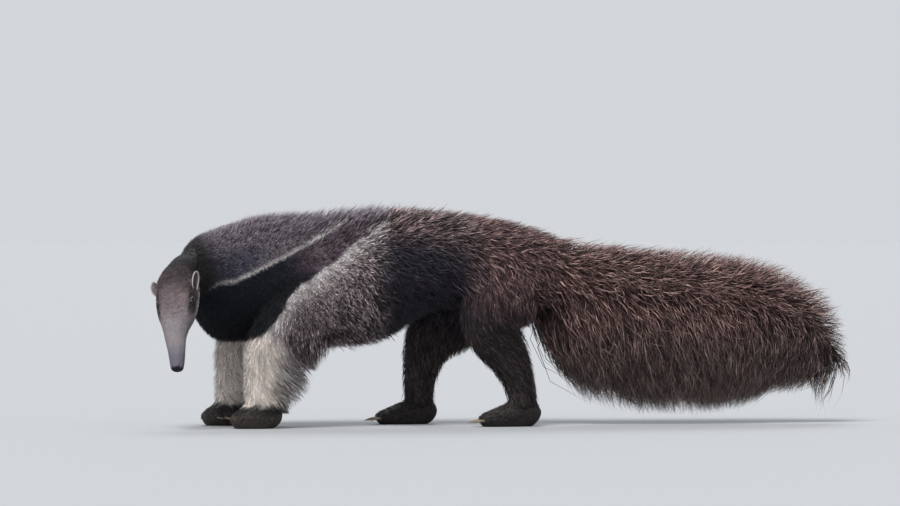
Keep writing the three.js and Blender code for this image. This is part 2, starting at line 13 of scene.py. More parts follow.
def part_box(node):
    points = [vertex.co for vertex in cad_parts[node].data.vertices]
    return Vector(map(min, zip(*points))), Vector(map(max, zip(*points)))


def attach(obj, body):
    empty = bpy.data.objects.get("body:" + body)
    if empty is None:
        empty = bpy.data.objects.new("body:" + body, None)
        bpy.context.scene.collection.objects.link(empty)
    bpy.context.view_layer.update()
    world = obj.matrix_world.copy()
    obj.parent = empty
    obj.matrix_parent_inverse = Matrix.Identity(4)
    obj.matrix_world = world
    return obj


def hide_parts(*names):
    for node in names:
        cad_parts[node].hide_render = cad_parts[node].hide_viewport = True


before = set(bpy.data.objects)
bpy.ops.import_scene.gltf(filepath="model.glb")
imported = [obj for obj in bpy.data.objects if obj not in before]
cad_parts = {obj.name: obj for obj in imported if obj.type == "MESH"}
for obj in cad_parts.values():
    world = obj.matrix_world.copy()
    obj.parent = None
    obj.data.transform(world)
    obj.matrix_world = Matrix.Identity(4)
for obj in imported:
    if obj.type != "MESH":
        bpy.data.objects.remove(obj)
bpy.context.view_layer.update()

# Driving dimensions
MM = 0.001
BACK_HEIGHT = 400  # the trunk's middle line over the floor
TRUNK_HALF = 143
HEAD_LENGTH = 365
HEAD_HALF = 60
TAIL_END = 1070
FORE_X = -600  # the left forefoot's place along the body
FORE_TRACK = 110
HIND_TRACK = 104
FAR_STEP = -52  # how far the right foreleg is ahead of the left
EYE_RADIUS = 8.5
EAR_LENGTH = 58
FLOOR_CLEARANCE = 12  # how far the lowest hair stays off the floor
SKIN_VOXEL = 6.7
LEFTWARD = np.array([0.0, -1.0, 0.0])

rng = np.random.default_rng(11)


# Vectors
def unit(v):
    v = np.asarray(v, float)
    return v / np.maximum(np.linalg.norm(v, axis=-1, keepdims=True), 1e-12)


def dot(a, b):
    return np.sum(a * b, axis=-1)


def ramp(x, low, high):
    """0 at low, 1 at high, smooth between; low may be the greater."""
    s = np.clip((np.asarray(x, float) - low) / (high - low), 0, 1)
    return s * s * (3 - 2 * s)


def bell(x, width):
    return np.exp(-((np.asarray(x, float) / width) ** 2))


def through(rows, t):
    """A smooth curve through the rows, at shares t of the way along."""
    rows = np.asarray(rows, float)
    last = len(rows) - 1
    t = np.clip(np.asarray(t, float), 0, 1) * last
    i = np.minimum(t.astype(int), last - 1)
    f = (t - i)[:, None]
    padded = np.vstack([2 * rows[0] - rows[1], rows, 2 * rows[-1] - rows[-2]])
    p0, p1, p2, p3 = (padded[i + k] for k in range(4))
    a, b = (p2 - p0) / 2, (p3 - p1) / 2
    return p1 + f * (a + f * (3 * (p2 - p1) - 2 * a - b + f * (2 * (p1 - p2) + a + b)))


class Body:
    """A body swept through stations (place, core, coat, fur). Core and coat are the reaches
    [half, over, under] to both sides and to the other two faces. The skin lies the depth of
    the short fur under the core, and the coat is how far the tips of the hair reach."""

    SKIN, CORE, COAT = 0, 1, 2

    def __init__(self, stations, sideways=LEFTWARD):
        rows = [[*at, *core, *(coat or core), fur] for at, core, coat, fur in stations]
        self.rows = np.array(rows, float)
        self.sideways = np.asarray(sideways, float)

    def section(self, t):
        here = through(self.rows, t)
        nudge = 1e-4
        ahead = through(self.rows[:, :3], np.minimum(t + nudge, 1))
        along = unit(ahead - through(self.rows[:, :3], np.maximum(t - nudge, 0)))
        over = unit(np.cross(self.sideways, along))
        return here, along, np.cross(along, over), over

    def point(self, t, around, layer=1, grow=0.0):
        """The surface at share t of the path. around is in radians, from the middle of the over face."""
        t, around = np.broadcast_arrays(np.asarray(t, float), np.asarray(around, float))
        here, _, side, over = self.section(t)
        size = here[:, 6:9] if layer == self.COAT else here[:, 3:6]
        sink = here[:, 9] if layer == self.SKIN else 0
        cos, sin = np.cos(around), np.sin(around)
        reach = np.where(cos >= 0, size[:, 1], size[:, 2])
        half = np.maximum(size[:, 0] - sink + grow, 1)
        reach = np.maximum(reach - sink + grow, 1)
        return here[:, :3] + side * (sin * half)[:, None] + over * (cos * reach)[:, None]

    def slopes(self, t, around, layer=0):
        """How the surface point moves with t and with around."""
        dt, da = 1e-3, 1e-3
        low, high = np.maximum(t - dt, 0), np.minimum(t + dt, 1)
        by_t = (self.point(high, around, layer) - self.point(low, around, layer)) / (high - low)[:, None]
        by_a = self.point(t, around + da, layer) - self.point(t, around - da, layer)
        return by_t, by_a / (2 * da)

    def normal(self, t, around, layer=0):
        by_t, by_a = self.slopes(t, around, layer)
        out = unit(np.cross(by_a, by_t))
        _, _, side, over = self.section(t)
        away = side * np.sin(around)[:, None] + over * np.cos(around)[:, None]
        return out * np.where(dot(out, away) < 0, -1, 1)[:, None]

    def pace(self, t):
        """How many mm of the path a step of 1 in t would cover."""
        low, high = np.maximum(t - 0.01, 0), np.minimum(t + 0.01, 1)
        step = through(self.rows[:, :3], high) - through(self.rows[:, :3], low)
        return np.linalg.norm(step, axis=1) / (high - low)

    def radius(self, t):
        """The mean reach of the core."""
        return through(self.rows, t)[:, 3:6].mean(axis=1)


def station(at, core, coat=None, fur=0.0):
    return at, core, coat, fur


# Trunk and neck
BH = BACK_HEIGHT
trunk = Body(
    [
        station([-858, -64, BH + 20], [14, 14, 16], None, 1),
        station([-845, -61, BH + 18], [44, 50, 52], None, 2),
        station([-805, -50, BH + 15], [70, 77, 91], None, 5),
        station([-772, -36, BH + 14], [86, 118, 84], [90, 124, 89], 7),
        station([-712, -12, BH + 8], [106, 146, 156], [112, 158, 166], 10),
        station([-625, 0, BH], [121, 173, 164], [128, 193, 170], 8),
        station([-520, 0, BH], [134, 174, 172], [142, 205, 180], 5),
        station([-400, 0, BH + 2], [TRUNK_HALF - 6, 168, 170], [TRUNK_HALF + 4, 204, 188], 3),
        station([-270, 0, BH + 12], [132, 164, 152], [146, 208, 182], 1),
        station([-120, 0, BH + 25], [122, 148, 80], [138, 188, 112], 0),
        station([30, 0, BH + 28], [118, 128, 74], [134, 164, 104], 0),
        station([140, 0, BH + 18], [102, 114, 74], [124, 148, 100], 0),
        station([215, 0, BH + 8], [78, 102, 70], [104, 134, 96], 0),
        station([262, 0, BH + 2], [52, 76, 54], [84, 116, 84], 0),
        station([280, 0, BH], [20, 30, 22], [70, 104, 70], 0),
    ]
)

# Tail
tail = Body(
    [
        station([165, 0, 400], [44, 60, 56], [60, 104, 70]),
        station([250, 0, 392], [56, 92, 84], [84, 130, 200]),
        station([345, 0, 384], [58, 86, 122], [94, 128, 290]),
        station([450, 0, 372], [58, 82, 146], [100, 130, 318]),
        station([600, 0, 360], [56, 78, 152], [102, 132, 318]),
        station([750, 0, 342], [51, 72, 142], [98, 136, 300]),
        station([860, 0, 314], [42, 62, 118], [88, 134, 272]),
        station([940, 0, 280], [31, 46, 84], [74, 120, 236]),
        station([1000, 0, 240], [18, 26, 44], [60, 102, 184]),
        station([1040, 0, 208], [8, 11, 14], [48, 64, 152]),
        station([TAIL_END, 0, 180], [4, 5, 5], [34, 26, 112]),
    ]
)

# Head: its axes follow from its turn to the left, the hang of the muzzle and a slight roll
HEAD_TILT = math.radians(28)
HEAD_ROLL = math.radians(15)
facing = np.array([-0.174, -0.985, 0.0])
right_hand = np.array([0.985, -0.174, 0.0])
muzzleward = unit([0, 0, -math.cos(HEAD_TILT)] + facing * math.sin(HEAD_TILT) + right_hand * 0.004)
brow = unit(np.cross(muzzleward, right_hand))
head_left = right_hand * math.cos(HEAD_ROLL) + brow * math.sin(HEAD_ROLL)
MUZZLE_TIP = np.array([-854.0, -242.0, 165.0])
EYE_FROM_TIP = 196
EAR_FROM_TIP = 228
HEAD_SECTIONS = [
    (0, 9, 8, 9),
    (3, 14, 13, 14),
    (10, 18, 17, 17),
    (32, 21, 20, 20),
    (66, 25, 23, 24),
    (98, 30, 27, 30),
    (130, 38, 32, 38),
    (160, 51, 37, 46),
    (EYE_FROM_TIP, HEAD_HALF - 1, 42, 52),
    (EAR_FROM_TIP, HEAD_HALF + 1, 47, 57),
    (263, HEAD_HALF - 1, 50, 58),
    (295, HEAD_HALF - 15, 46, 54),
    (328, 31, 34, 44),
    (352, 20, 15, 26),
    (HEAD_LENGTH, 8, 5, 8),
]
FACE_FUR = 1.4  # depth of the fur towards the nape, less on the muzzle


def muzzle_bow(from_tip):
    """How far the muzzle's middle line bends to the head's right."""
    on_muzzle = 7 * bell(from_tip - 115, 55) + 3.5 * ramp(from_tip, 120, 210)
    return on_muzzle - 36 * ramp(from_tip, 262, HEAD_LENGTH)


def head_place(from_tip):
    return MUZZLE_TIP - muzzleward * from_tip - right_hand * muzzle_bow(from_tip)


head = Body(
    [
        station(list(head_place(s)), [half, over, under], None, FACE_FUR * float(ramp(s, 20, 200)))
        for s, half, over, under in HEAD_SECTIONS
    ],
    head_left,
)


def head_share(from_tip):
    """The share t of the head's path at a distance from the muzzle's tip."""
    t = np.linspace(0, 1, 800)
    reached = -(through(head.rows[:, :3], t) - MUZZLE_TIP) @ muzzleward
    return np.interp(from_tip, reached, t)


# Legs
def mirrored(side, y):
    return -y if side == "left" else y


def foreleg(side):
    shift = 0 if side == "left" else FAR_STEP

    def at(x, inset, z):
        return [x + shift * min(max((480 - z) / 200, 0), 1), mirrored(side, FORE_TRACK - inset), z]

    return Body(
        [
            station(at(FORE_X, 2, 40), [44, 50, 50], [46, 52, 74], 5),
            station(at(FORE_X, 0, 90), [45, 54, 58], [50, 60, 128], 5),
            station(at(-595, -2, 150), [51, 58, 70], [57, 66, 136], 5),
            station(at(-580, -4, 215), [58, 70, 88], [64, 80, 142], 5),
            station(at(-530, -2, 285), [62, 82, 98], [70, 90, 148], 4),
            station(at(-465, 6, 355), [60, 78, 102], [68, 86, 140], 3),
            station(at(-400, 36, 430), [50, 80, 88], [56, 86, 108], 3),
            station(at(-358, 66, 485), [32, 56, 56], [36, 60, 64], 3),
            station(at(-338, 80, 510), [14, 22, 22], None, 2),
        ]
    )


HIND_X = {
    "left": (128, 122, 102, 72, 46, 56, 92, 124, 138),
    "right": (-130, -134, -130, -118, -84, -10, 60, 112, 130),
}
HIND_Z = (50, 95, 150, 205, 262, 330, 400, 460, 490)
HIND_CORES = ((36, 40, 40), (35, 38, 40), (38, 42, 48), (44, 54, 62), (51, 80, 78), (56, 98, 88))
HIND_CORES += ((53, 100, 90), (40, 74, 70), (16, 26, 26))
HIND_HAIR = (6, 10, 16, 22, 28, 30, 26, 12, 4)  # how far the coat stands out behind
HIND_INSET = (0, 0, 0, 1, 2, 6, 20, 62, 82)


def hindleg(side):
    stations = []
    for x, z, core, hair, inset in zip(HIND_X[side], HIND_Z, HIND_CORES, HIND_HAIR, HIND_INSET):
        half, over, under = core
        coat = [half + hair / 3, over + hair / 3, under + hair]
        stations.append(station([x, mirrored(side, HIND_TRACK - inset), z], core, coat, 4))
    return Body(stations)


FORE_TOE_START, FORE_TOE_GAP = -52, 25  # where along the foot the first toe lies, and how far apart they are
HIND_TOES, HIND_TOE_GAP = 5, 13  # how many, and how far apart
# Feet: how far behind the foot's middle each station lies, its height, core and fur
FOREFOOT = (
    (52, 24, (12, 12, 12), 2),
    (44, 27, (30, 26, 30), 3),
    (16, 38, (43, 50, 60), 3),
    (-20, 36, (48, 46, 60), 3),
    (-54, 28, (46, 31, 50), 3),
    (-80, 21, (35, 20, 32), 2),
    (-90, 17, (14, 9, 12), 1),
)
HINDFOOT = (
    (52, 26, (12, 12, 14), 2),
    (42, 30, (28, 28, 34), 3),
    (8, 40, (36, 40, 60), 3),
    (-40, 32, (38, 34, 50), 3),
    (-84, 24, (40, 24, 40), 3),
    (-112, 18, (34, 17, 24), 2),
    (-120, 15, (18, 8, 12), 1),
)


def foot_middle(side, foot):
    if foot == "fore":
        return FORE_X + (0 if side == "left" else FAR_STEP), mirrored(side, FORE_TRACK)
    return HIND_X[side][0], mirrored(side, HIND_TRACK)


def foot_body(side, foot, places):
    x, y = foot_middle(side, foot)
    return Body([station([x + back, y, z], core, None, fur) for back, z, core, fur in places], -LEFTWARD)


SIDES = ("left", "right")
forelegs = {side: foreleg(side) for side in SIDES}
hindlegs = {side: hindleg(side) for side in SIDES}
forefeet = {side: foot_body(side, "fore", FOREFOOT) for side in SIDES}
hindfeet = {side: foot_body(side, "hind", HINDFOOT) for side in SIDES}

# Eyes: where each one sits
EYE_DEPTH = 0.78  # how deep the eye's centre lies, as a share of its radius
EYE_AROUND = {"left": math.radians(60), "right": math.radians(-60)}


def eye_place(side):
    """The eye's centre and its own axes: out of the head, along it and across the lids."""
    t = np.array([head_share(EYE_FROM_TIP)])
    around = np.array([EYE_AROUND[side]])
    out = head.normal(t, around, Body.CORE)[0]
    along = -muzzleward
    up = unit(np.cross(out, along))
    centre = head.point(t, around, Body.CORE)[0] - out * EYE_RADIUS * EYE_DEPTH
    return centre, out, along, up


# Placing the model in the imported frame, which the left eye's solid gives
eye_low, eye_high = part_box("eye_left")
OFFSET = (np.array(eye_low) + np.array(eye_high)) / 2 - eye_place("left")[0] * MM


def placed(points):
    return np.asarray(points) * MM + OFFSET


# Meshes
def add_object(name, mesh):
    piece = bpy.data.objects.new(name, mesh)
    bpy.context.scene.collection.objects.link(piece)
    return piece


def mesh_of(name, points, faces):
    """A mesh from millimetre points and faces of three or four corners."""
    mesh = bpy.data.meshes.new(name)
    mesh.from_pydata(placed(points).tolist(), [], [list(map(int, f)) for f in faces])
    mesh.update()
    return mesh


def capped(points, rings, sides):
    """Points and faces of a closed tube from a grid of rings, with a middle point in each end."""
    grid = points.reshape(rings, sides, 3)
    first, last = grid[0].mean(0), grid[-1].mean(0)
    k = np.arange(sides)
    nxt = (k + 1) % sides
    ring = np.arange(rings - 1)[:, None] * sides
    quads = np.stack([ring + k, ring + sides + k, ring + sides + nxt, ring + nxt], axis=-1)
    faces = [list(quad) for quad in quads.reshape(-1, 4)]
    count = rings * sides
    for a, b in zip(k, nxt):
        faces.append([count, a, b])
        faces.append([count + 1, count - sides + b, count - sides + a])
    return np.vstack([points, first, last]), faces


def outward_faces(mesh):
    tool = bmesh.new()
    tool.from_mesh(mesh)
    bmesh.ops.recalc_face_normals(tool, faces=tool.faces)
    tool.to_mesh(mesh)
    tool.free()


def swept(body, rings, sides):
    t = np.repeat(np.linspace(0, 1, rings), sides)
    around = np.tile(np.arange(sides) / sides * 2 * math.pi, rings)
    return capped(body.point(t, around, Body.SKIN), rings, sides)


def applied(piece):
    """The piece's mesh with its modifiers applied."""
    graph = bpy.context.evaluated_depsgraph_get()
    graph.update()
    mesh = bpy.data.meshes.new_from_object(piece.evaluated_get(graph))
    piece.modifiers.clear()
    old, piece.data = piece.data, mesh
    bpy.data.meshes.remove(old)
    return mesh


def points_of(mesh):
    out = np.empty(len(mesh.vertices) * 3, np.float32)
    mesh.vertices.foreach_get("co", out)
    return (out.reshape(-1, 3) - OFFSET) / MM


def move_points(mesh, points):
    mesh.vertices.foreach_set("co", placed(points).astype(np.float32).ravel())
    mesh.update()


def write_float(mesh, name, values):
    layer = mesh.attributes.new(name, "FLOAT", "POINT")
    layer.data.foreach_set("value", np.asarray(values, np.float32))


def write_colour(mesh, name, colours):
    layer = mesh.attributes.new(name, "FLOAT_COLOR", "POINT")
    full = np.ones((len(colours), 4), np.float32)
    full[:, :3] = colours
    layer.data.foreach_set("color", full.ravel())


# The pelt's colours, as seen in daylight
def paint(hex_code):
    """Linear colour of a hex code."""
    parts = [int(hex_code[i : i + 2], 16) / 255 for i in (0, 2, 4)]
    return np.array([c / 12.92 if c <= 0.04045 else ((c + 0.055) / 1.055) ** 2.4 for c in parts])


# Each coat has the colour of its hairs' roots and of their tips.
COATS = {
    "flank": ("1a1722", "443d4a"),
    "crest": ("2d1f20", "b99fa0"),
    "rump": ("3a2429", "ad8b86"),
    "thigh": ("1f191a", "625352"),
    "tail": ("391f22", "b9978f"),
    "tail_low": ("322326", "a18c84"),
    "shoulder": ("2c2427", "f4dfe0"),
    "shoulder_low": ("271d21", "b8a5aa"),
    "bib": ("0a0f19", "1b2031"),
    # painted shade over the shoulder's bulge, darker than the bib
    "bib_painted_shade": ("04060a", "0c0e15"),
    "bib_top": ("3a3038", "8d7985"),
    "mantle": ("4c444c", "a89ca6"),
    "mantle_low": ("302d38", "78758a"),
    "nape": ("0d0a0d", "2e282b"),
    "edge": ("afa6a5", "ffffff"),
    "foreleg_back": ("5d585b", "d0cbc8"),
    "foreleg": ("dccdc4", "fffff8"),
    "crown": ("181113", "4d3f42"),
    "face": ("514649", "857779"),
    # painted shade of the face's sides; also the root colour of the ears' hair
    "cheek": ("221b1c", "4a4142"),
    "muzzle": ("726c70", "91898b"),
    "snout": ("514d58", "746f7d"),
    "nose": ("0e0d10", "1c1a1e"),
    "foot": ("141112", "3a3230"),
    "toes": ("241f1d", "57504a"),
}
COATS = {name: (paint(root), paint(tip)) for name, (root, tip) in COATS.items()}

# Where the white edges run on the body's side, as (x, z)
STRIPE = np.array(
    [(-800, 345), (-772, 362), (-752, 382), (-722, 400), (-676, 405), (-612, 436), (-504, 492), (-366, 566)]
)
PALE_EDGE = np.array(
    [(-900, 232), (-680, 236), (-640, 243), (-600, 258), (-575, 284), (-539, 348), (-504, 390), (-405, 455)]
    + [(-333, 516), (-250, 574)]
)
STRIPE_REACH = (6.5, 3.5)  # over and under its line
STRIPE_END = -362


def over_line(points, line):
    """How far a point lies over a line on the body's side."""
    x, z = points[:, 0], points[:, 2]
    height = np.interp(x, line[:, 0], line[:, 1])
    slope = np.gradient(line[:, 1], line[:, 0])
    lean = np.interp(x, line[:, 0], slope)
    return (z - height) / np.sqrt(1 + lean**2)


def wander(points, scale, amount):
    """A slow, seeded wave over the body, which keeps edges from being ruled lines."""
    x, y, z = (points / scale).T
    waves = np.sin(x * 1.7 + y) + np.sin(z * 2.3 - x * 0.9 + 1.3) + np.sin(y * 2.9 + z * 1.1 + 0.4)
    return amount * waves / 3


def mottle(points, size):
    """Blotches of about a size in mm, from -1 to 1."""
    return (wander(points, size, 1) + wander(points[:, ::-1] + 31, size * 0.43, 1)) * 0.8


def head_coordinates(points):
    """Distance from the muzzle's tip, angle round the head and how far out, as a share of its reach."""
    s = -((points - MUZZLE_TIP) @ muzzleward)
    t = head_share(np.clip(s, 0, HEAD_LENGTH))
    here, _, side, over = head.section(t)
    rel = points - here[:, :3]
    a, b = dot(rel, side), dot(rel, over)
    reach = np.where(b >= 0, here[:, 4], here[:, 5])
    return s, np.arctan2(a / here[:, 3], b / reach), np.hypot(a / here[:, 3], b / reach)


def almond(along, up):
    """1 at the lids' edge, less inside the opening and more outside. Points are in mm from the eye."""
    half_length, half_height = EYE_RADIUS * 0.98, EYE_RADIUS * 0.6
    pinch = np.sqrt(np.clip(1 - (along / (half_length * 1.25)) ** 2, 0.02, 1))
    return np.hypot(along / half_length, up / (half_height * pinch))


class Pelt:
    """The colours of the hairs' roots and tips at points of the body, laid one coat over another."""

    def __init__(self, points):
        self.points = points
        self.root = np.tile(COATS["flank"][0], (len(points), 1))
        self.tip = np.tile(COATS["flank"][1], (len(points), 1))

    def lay(self, name, share):
        share = np.clip(share, 0, 1)[:, None]
        self.root = self.root * (1 - share) + COATS[name][0] * share
        self.tip = self.tip * (1 - share) + COATS[name][1] * share

    def hind_parts(self, on_tail):
        x, y, z = self.points.T
        soft = wander(self.points, 60, 12)
        back_line = np.interp(x, [-800, -500, -250, 0, 200, 300], [540, 570, 575, 550, 510, 480])
        self.lay("crest", ramp(z + soft, back_line - 90, back_line - 15))
        self.lay("rump", ramp(x + soft, -70, 60) * ramp(z + soft, 230, 390))
        low_leg = ramp(z + soft, 330, 240) * ramp(x, -190, -150)
        self.lay("thigh", low_leg * ramp(np.abs(y), 30, 60))
        self.lay("tail", on_tail)
        self.lay("tail_low", on_tail * ramp(z + soft * 2, 330, 200))

    def fore_parts(self):
        x, y, z = self.points.T
        soft = wander(self.points, 60, 12)
        over_stripe = over_line(self.points, STRIPE)
        over_pale = over_line(self.points, PALE_EDGE) + wander(self.points, 22, 3)
        behind = ramp(over_pale, 3, -3)
        ahead = 1 - behind
        on_shoulder = behind * ramp(x + soft, -235, -320)
        self.lay("shoulder", on_shoulder)
        self.lay("shoulder_low", on_shoulder * ramp(z + soft, 400, 320) * ramp(over_pale, -12, -60) * 0.65)
        front = ramp(x, -225, -262)
        self.lay("bib", ahead * front * ramp(over_stripe, 2, -2))
        mantle = ahead * front * ramp(over_stripe, -2, 2)
        self.lay("mantle", mantle)
        self.lay("mantle_low", mantle * ramp(over_stripe + soft, 95, 30) * ramp(x + soft, -560, -660))
        # Painted shade: a near-black band on the bib just ahead of the pale edge and low down darkens the lit
        # bulge of the shoulder's front.
        corner = bell(np.maximum(over_pale, 0), 55) * ramp(z, 430, 380)
        self.lay("bib_painted_shade", ahead * front * ramp(over_stripe, 2, -2) * corner)
        bib_back = ramp(x + soft, -555, -440) * ramp(z + soft, 400, 460)
        self.lay("bib_top", ahead * front * ramp(over_stripe, 2, -2) * bib_back)
        self.lay("nape", mantle * ramp(x + soft + (z - 380) / 3, -670, -740))
        stripe_end = ramp(x, STRIPE_END + 16, STRIPE_END - 30) * ramp(x, -765, -690)
        reach = np.where(over_stripe > 0, *STRIPE_REACH) * ramp(x, -800, -680)
        self.lay("edge", bell(over_stripe, np.maximum(reach, 1)) * stripe_end * 1.05)
        glow = np.where(over_pale > 0, bell(over_pale, 2.5), bell(over_pale, 30))
        self.lay("edge", glow * ramp(x, -225, -300) * ramp(x, -640, -610) * 0.95)
        outer = ramp(np.abs(y), 30, 52)
        leg_top = np.interp(x, [-760, -680, -600, -540, -480], [262, 262, 262, 214, 120])
        low_down = ramp(z + soft, leg_top + 30, leg_top - 25)
        on_leg = low_down * ramp(x, -400, -440) * outer * ramp(over_pale, 4, -4)
        self.lay("foreleg", on_leg)
        self.lay("foreleg_back", on_leg * ramp(x + soft - FAR_STEP * (y > 0), -585, -500) * 0.8)

    def feet(self, on_tail):
        x, _, z = self.points.T
        ragged = wander(self.points, 9, 6)
        fore = ramp(x, -470, -500)
        self.lay("foot", fore * ramp(z + ragged, 70, 54))
        self.lay("toes", fore * ramp(z + ragged, 44, 30))
        self.lay("foot", (1 - fore) * ramp(z + ragged, 90, 50) * (1 - on_tail))

    def face(self):
        s, around, out = head_coordinates(self.points)
        on_head = ramp(s, HEAD_LENGTH + 6, HEAD_LENGTH - 20) * ramp(out, 1.3, 1.12)
        self.lay("nape", on_head)
        self.lay("crown", on_head * ramp(s + wander(self.points, 16, 18), 308, 272))
        self.lay("face", on_head * ramp(s + wander(self.points, 16, 16), 268, 196))
        self.lay("muzzle", on_head * ramp(s + wander(self.points, 14, 10), 186, 130))
        # Painted shade: the sides of the face about the eyes are laid darker than its front, where the side
        # planes turn from the light.
        to_side = np.abs(around) + wander(self.points, 12, 0.08)
        cheek = ramp(to_side, 0.78, 0.95) * ramp(to_side, 1.52, 1.34)
        self.lay("cheek", on_head * cheek * ramp(s, 142, 172) * ramp(s, 250, 228))
        # A pale line along the jaw's edge: partly pale hair, partly painted rim light.
        jaw_rim_light_and_pale_hair = bell(to_side - 1.74, 0.14) * ramp(s, 155, 175) * ramp(s, 262, 240)
        self.lay("edge", on_head * jaw_rim_light_and_pale_hair * 0.55)
        streaks = np.stack([around * 42, s * 0.22, s * 0], axis=1)
        self.lay("snout", on_head * ramp(mottle(streaks, 5), 0.1, 0.7) * ramp(s, 190, 150) * 0.4)
        self.lay("snout", on_head * ramp(s + wander(self.points, 8, 6), 78, 30))
        lips = 5 + 11 * ramp(np.abs(around), 1.2, 1.75)
        self.lay("nose", on_head * ramp(s + wander(self.points, 5, 2) - lips, 3, -3))
        for side in SIDES:
            centre, eye_out, along, up = eye_place(side)
            rel = self.points - centre
            a, u = rel @ along, rel @ up
            near = on_head * ramp(rel @ eye_out, -14, -4)
            # Painted shade: a near-black patch in the nose's colour round each eye's socket.
            self.lay("nose", near * 0.75 * ramp(np.hypot(a / 17, u / 12), 1.3, 0.6))
            # Painted highlight: a pale arc in the muzzle's colour on the lids' rim, on the side towards the
            # crown.
            self.lay("muzzle", near * bell(almond(a, u) - 1.45, 0.22) * ramp(a, 0, 7) * 0.9)


def pelt(points, part="skin"):
    """The colours of the hairs' roots and tips at points of the body, or of one part's own hair."""
    coats = Pelt(points)
    on_tail = ramp(points[:, 0] + wander(points, 60, 7), 175, 250)
    if part == "tail":
        on_tail = np.ones(len(points))
    coats.hind_parts(on_tail)
    if part != "tail":
        coats.fore_parts()
        coats.feet(on_tail)
    if part in ("skin", "head"):
        coats.face()
    return coats.root, coats.tip


# Skin: the head is modelled in rings and then joined to the remeshed body
def spaced(stops):
    """Marks that run through (place, spacing) stops, each spacing holding up to the next place."""
    marks = []
    for (start, gap), (end, _) in zip(stops, stops[1:]):
        marks.append(np.linspace(start, end, max(round((end - start) / gap), 1), endpoint=False))
    return np.append(np.concatenate(marks), stops[-1][0])


def head_rings():
    """How far each ring of the head lies from the tip, closest at the nose and by the eyes."""
    eye = EYE_FROM_TIP
    near_eye = [(eye - 22, 0.75), (eye + 22, 2.4)]
    return spaced([(0.4, 0.7), (12, 1.2), (46, 2.4), *near_eye, (HEAD_LENGTH - 1, 2.4)])


def head_angles():
    """The angles of the head's rings, closest by the eyes."""
    eye = math.degrees(EYE_AROUND["left"])
    half = spaced([(0, 2.4), (eye - 18, 0.9), (eye + 18, 2.4), (180, 2.4)])
    return np.radians(np.concatenate([half, -half[-2:0:-1]]))


def lid_height(points, side):
    """How far the skin round an eye rises, in mm."""
    centre, out, along, up = eye_place(side)
    rel = points - centre
    a, u = rel @ along, rel @ up
    near = ramp(rel @ out, -12, -2)
    edge = almond(a, u)
    rise = 2.7 * bell(edge - 1.22, 0.34) + 1.1 * bell(edge - 1.9, 0.5)
    folds = 0.34 * np.sin(edge * 9.5 + 0.6) * bell(edge - 2.3, 0.7)
    pocket = -6.2 * ramp(edge, 1.06, 0.82)
    socket = -1.6 * bell(np.hypot(a / 22, (u + 3) / 15) - 0.95, 0.4)
    corner = 0.9 * bell(np.hypot((a + EYE_RADIUS * 1.15) / 3.4, u / 1.6), 1)
    return near * (rise * (edge > 0.9) + folds + pocket + socket + corner)


def nostril_depth(points):
    depth = np.zeros(len(points))
    for side in SIDES:
        around = np.array([math.radians(42 if side == "left" else -42)])
        at = head.point(np.array([head_share(3.0)]), around, Body.CORE, -1)[0]
        sign = 1 if side == "left" else -1
        slant = unit(head_left * 0.6 * sign + brow)
        across = unit(np.cross(muzzleward, slant))
        rel = points - at
        a, b = rel @ slant, rel @ across
        curl = b - 0.12 * a * a * sign
        depth -= 4.6 * bell(np.hypot(a / 4.4, curl / 1.7), 1.0)
        depth += 0.7 * bell(np.hypot(a / 5.6, curl / 3.0) - 1.1, 0.35)
    return depth


def mouth_depth(s, points):
    rel = points - MUZZLE_TIP
    height = rel @ brow
    line = -9 + 0.1 * (14 - s)
    off = height - line
    reach = ramp(s, 44, 30)
    groove = -1.7 * bell(off, 0.75) * reach
    lips = 0.55 * bell(off - 1.9, 1.3) + 0.45 * bell(off + 2.1, 1.5)
    corner = 0.8 * bell(np.hypot((s - 42) / 5, off / 3.5), 1)
    return groove + lips * reach + corner


def head_skin():
    rings, angles = head_rings(), head_angles()
    s = np.repeat(rings, len(angles))
    around = np.tile(angles, len(rings))
    t = head_share(s)
    points = head.point(t, around, Body.SKIN)
    normals = head.normal(t, around, Body.SKIN)
    top, side = np.cos(around), np.abs(np.sin(around))
    rise = np.zeros(len(points))
    for name in SIDES:
        rise += lid_height(points, name)
    # the brow over each eye, the cheek under it and the hollow of the temple
    eye_off = np.abs(around) - EYE_AROUND["left"]
    rise += 2.0 * bell(s - 198, 24) * bell(eye_off + 0.42, 0.22)
    rise += 1.6 * bell(s - 178, 30) * bell(eye_off - 0.75, 0.35)
    rise -= 1.5 * bell(s - 232, 20) * bell(eye_off + 0.1, 0.3)
    # jaw's edge and the ridge of the nose
    rise += 0.9 * bell(s - 120, 70) * bell(np.abs(around) - 2.35, 0.25)
    rise += 0.5 * bell(s - 90, 60) * bell(around, 0.4)
    # creases across the muzzle and fine folds between the brows
    rise += 0.16 * np.sin(s * 1.15 + 1.5 * np.sin(around * 3)) * ramp(s, 10, 18) * ramp(s, 70, 40)
    rise += 0.32 * np.sin(s * 0.42 + 1.1 * np.cos(around * 2)) * bell(s - 168, 34) * ramp(top, 0.3, 0.9)
    rise += 0.3 * np.sin(s * 0.55 + around * 2.2) * bell(s - 262, 40) * side
    rise += nostril_depth(points) + mouth_depth(s, points)
    points = points + normals * rise[:, None]
    verts, faces = capped(points, len(rings), len(angles))
    mesh = mesh_of("head_skin", verts, faces)
    outward_faces(mesh)
    return mesh


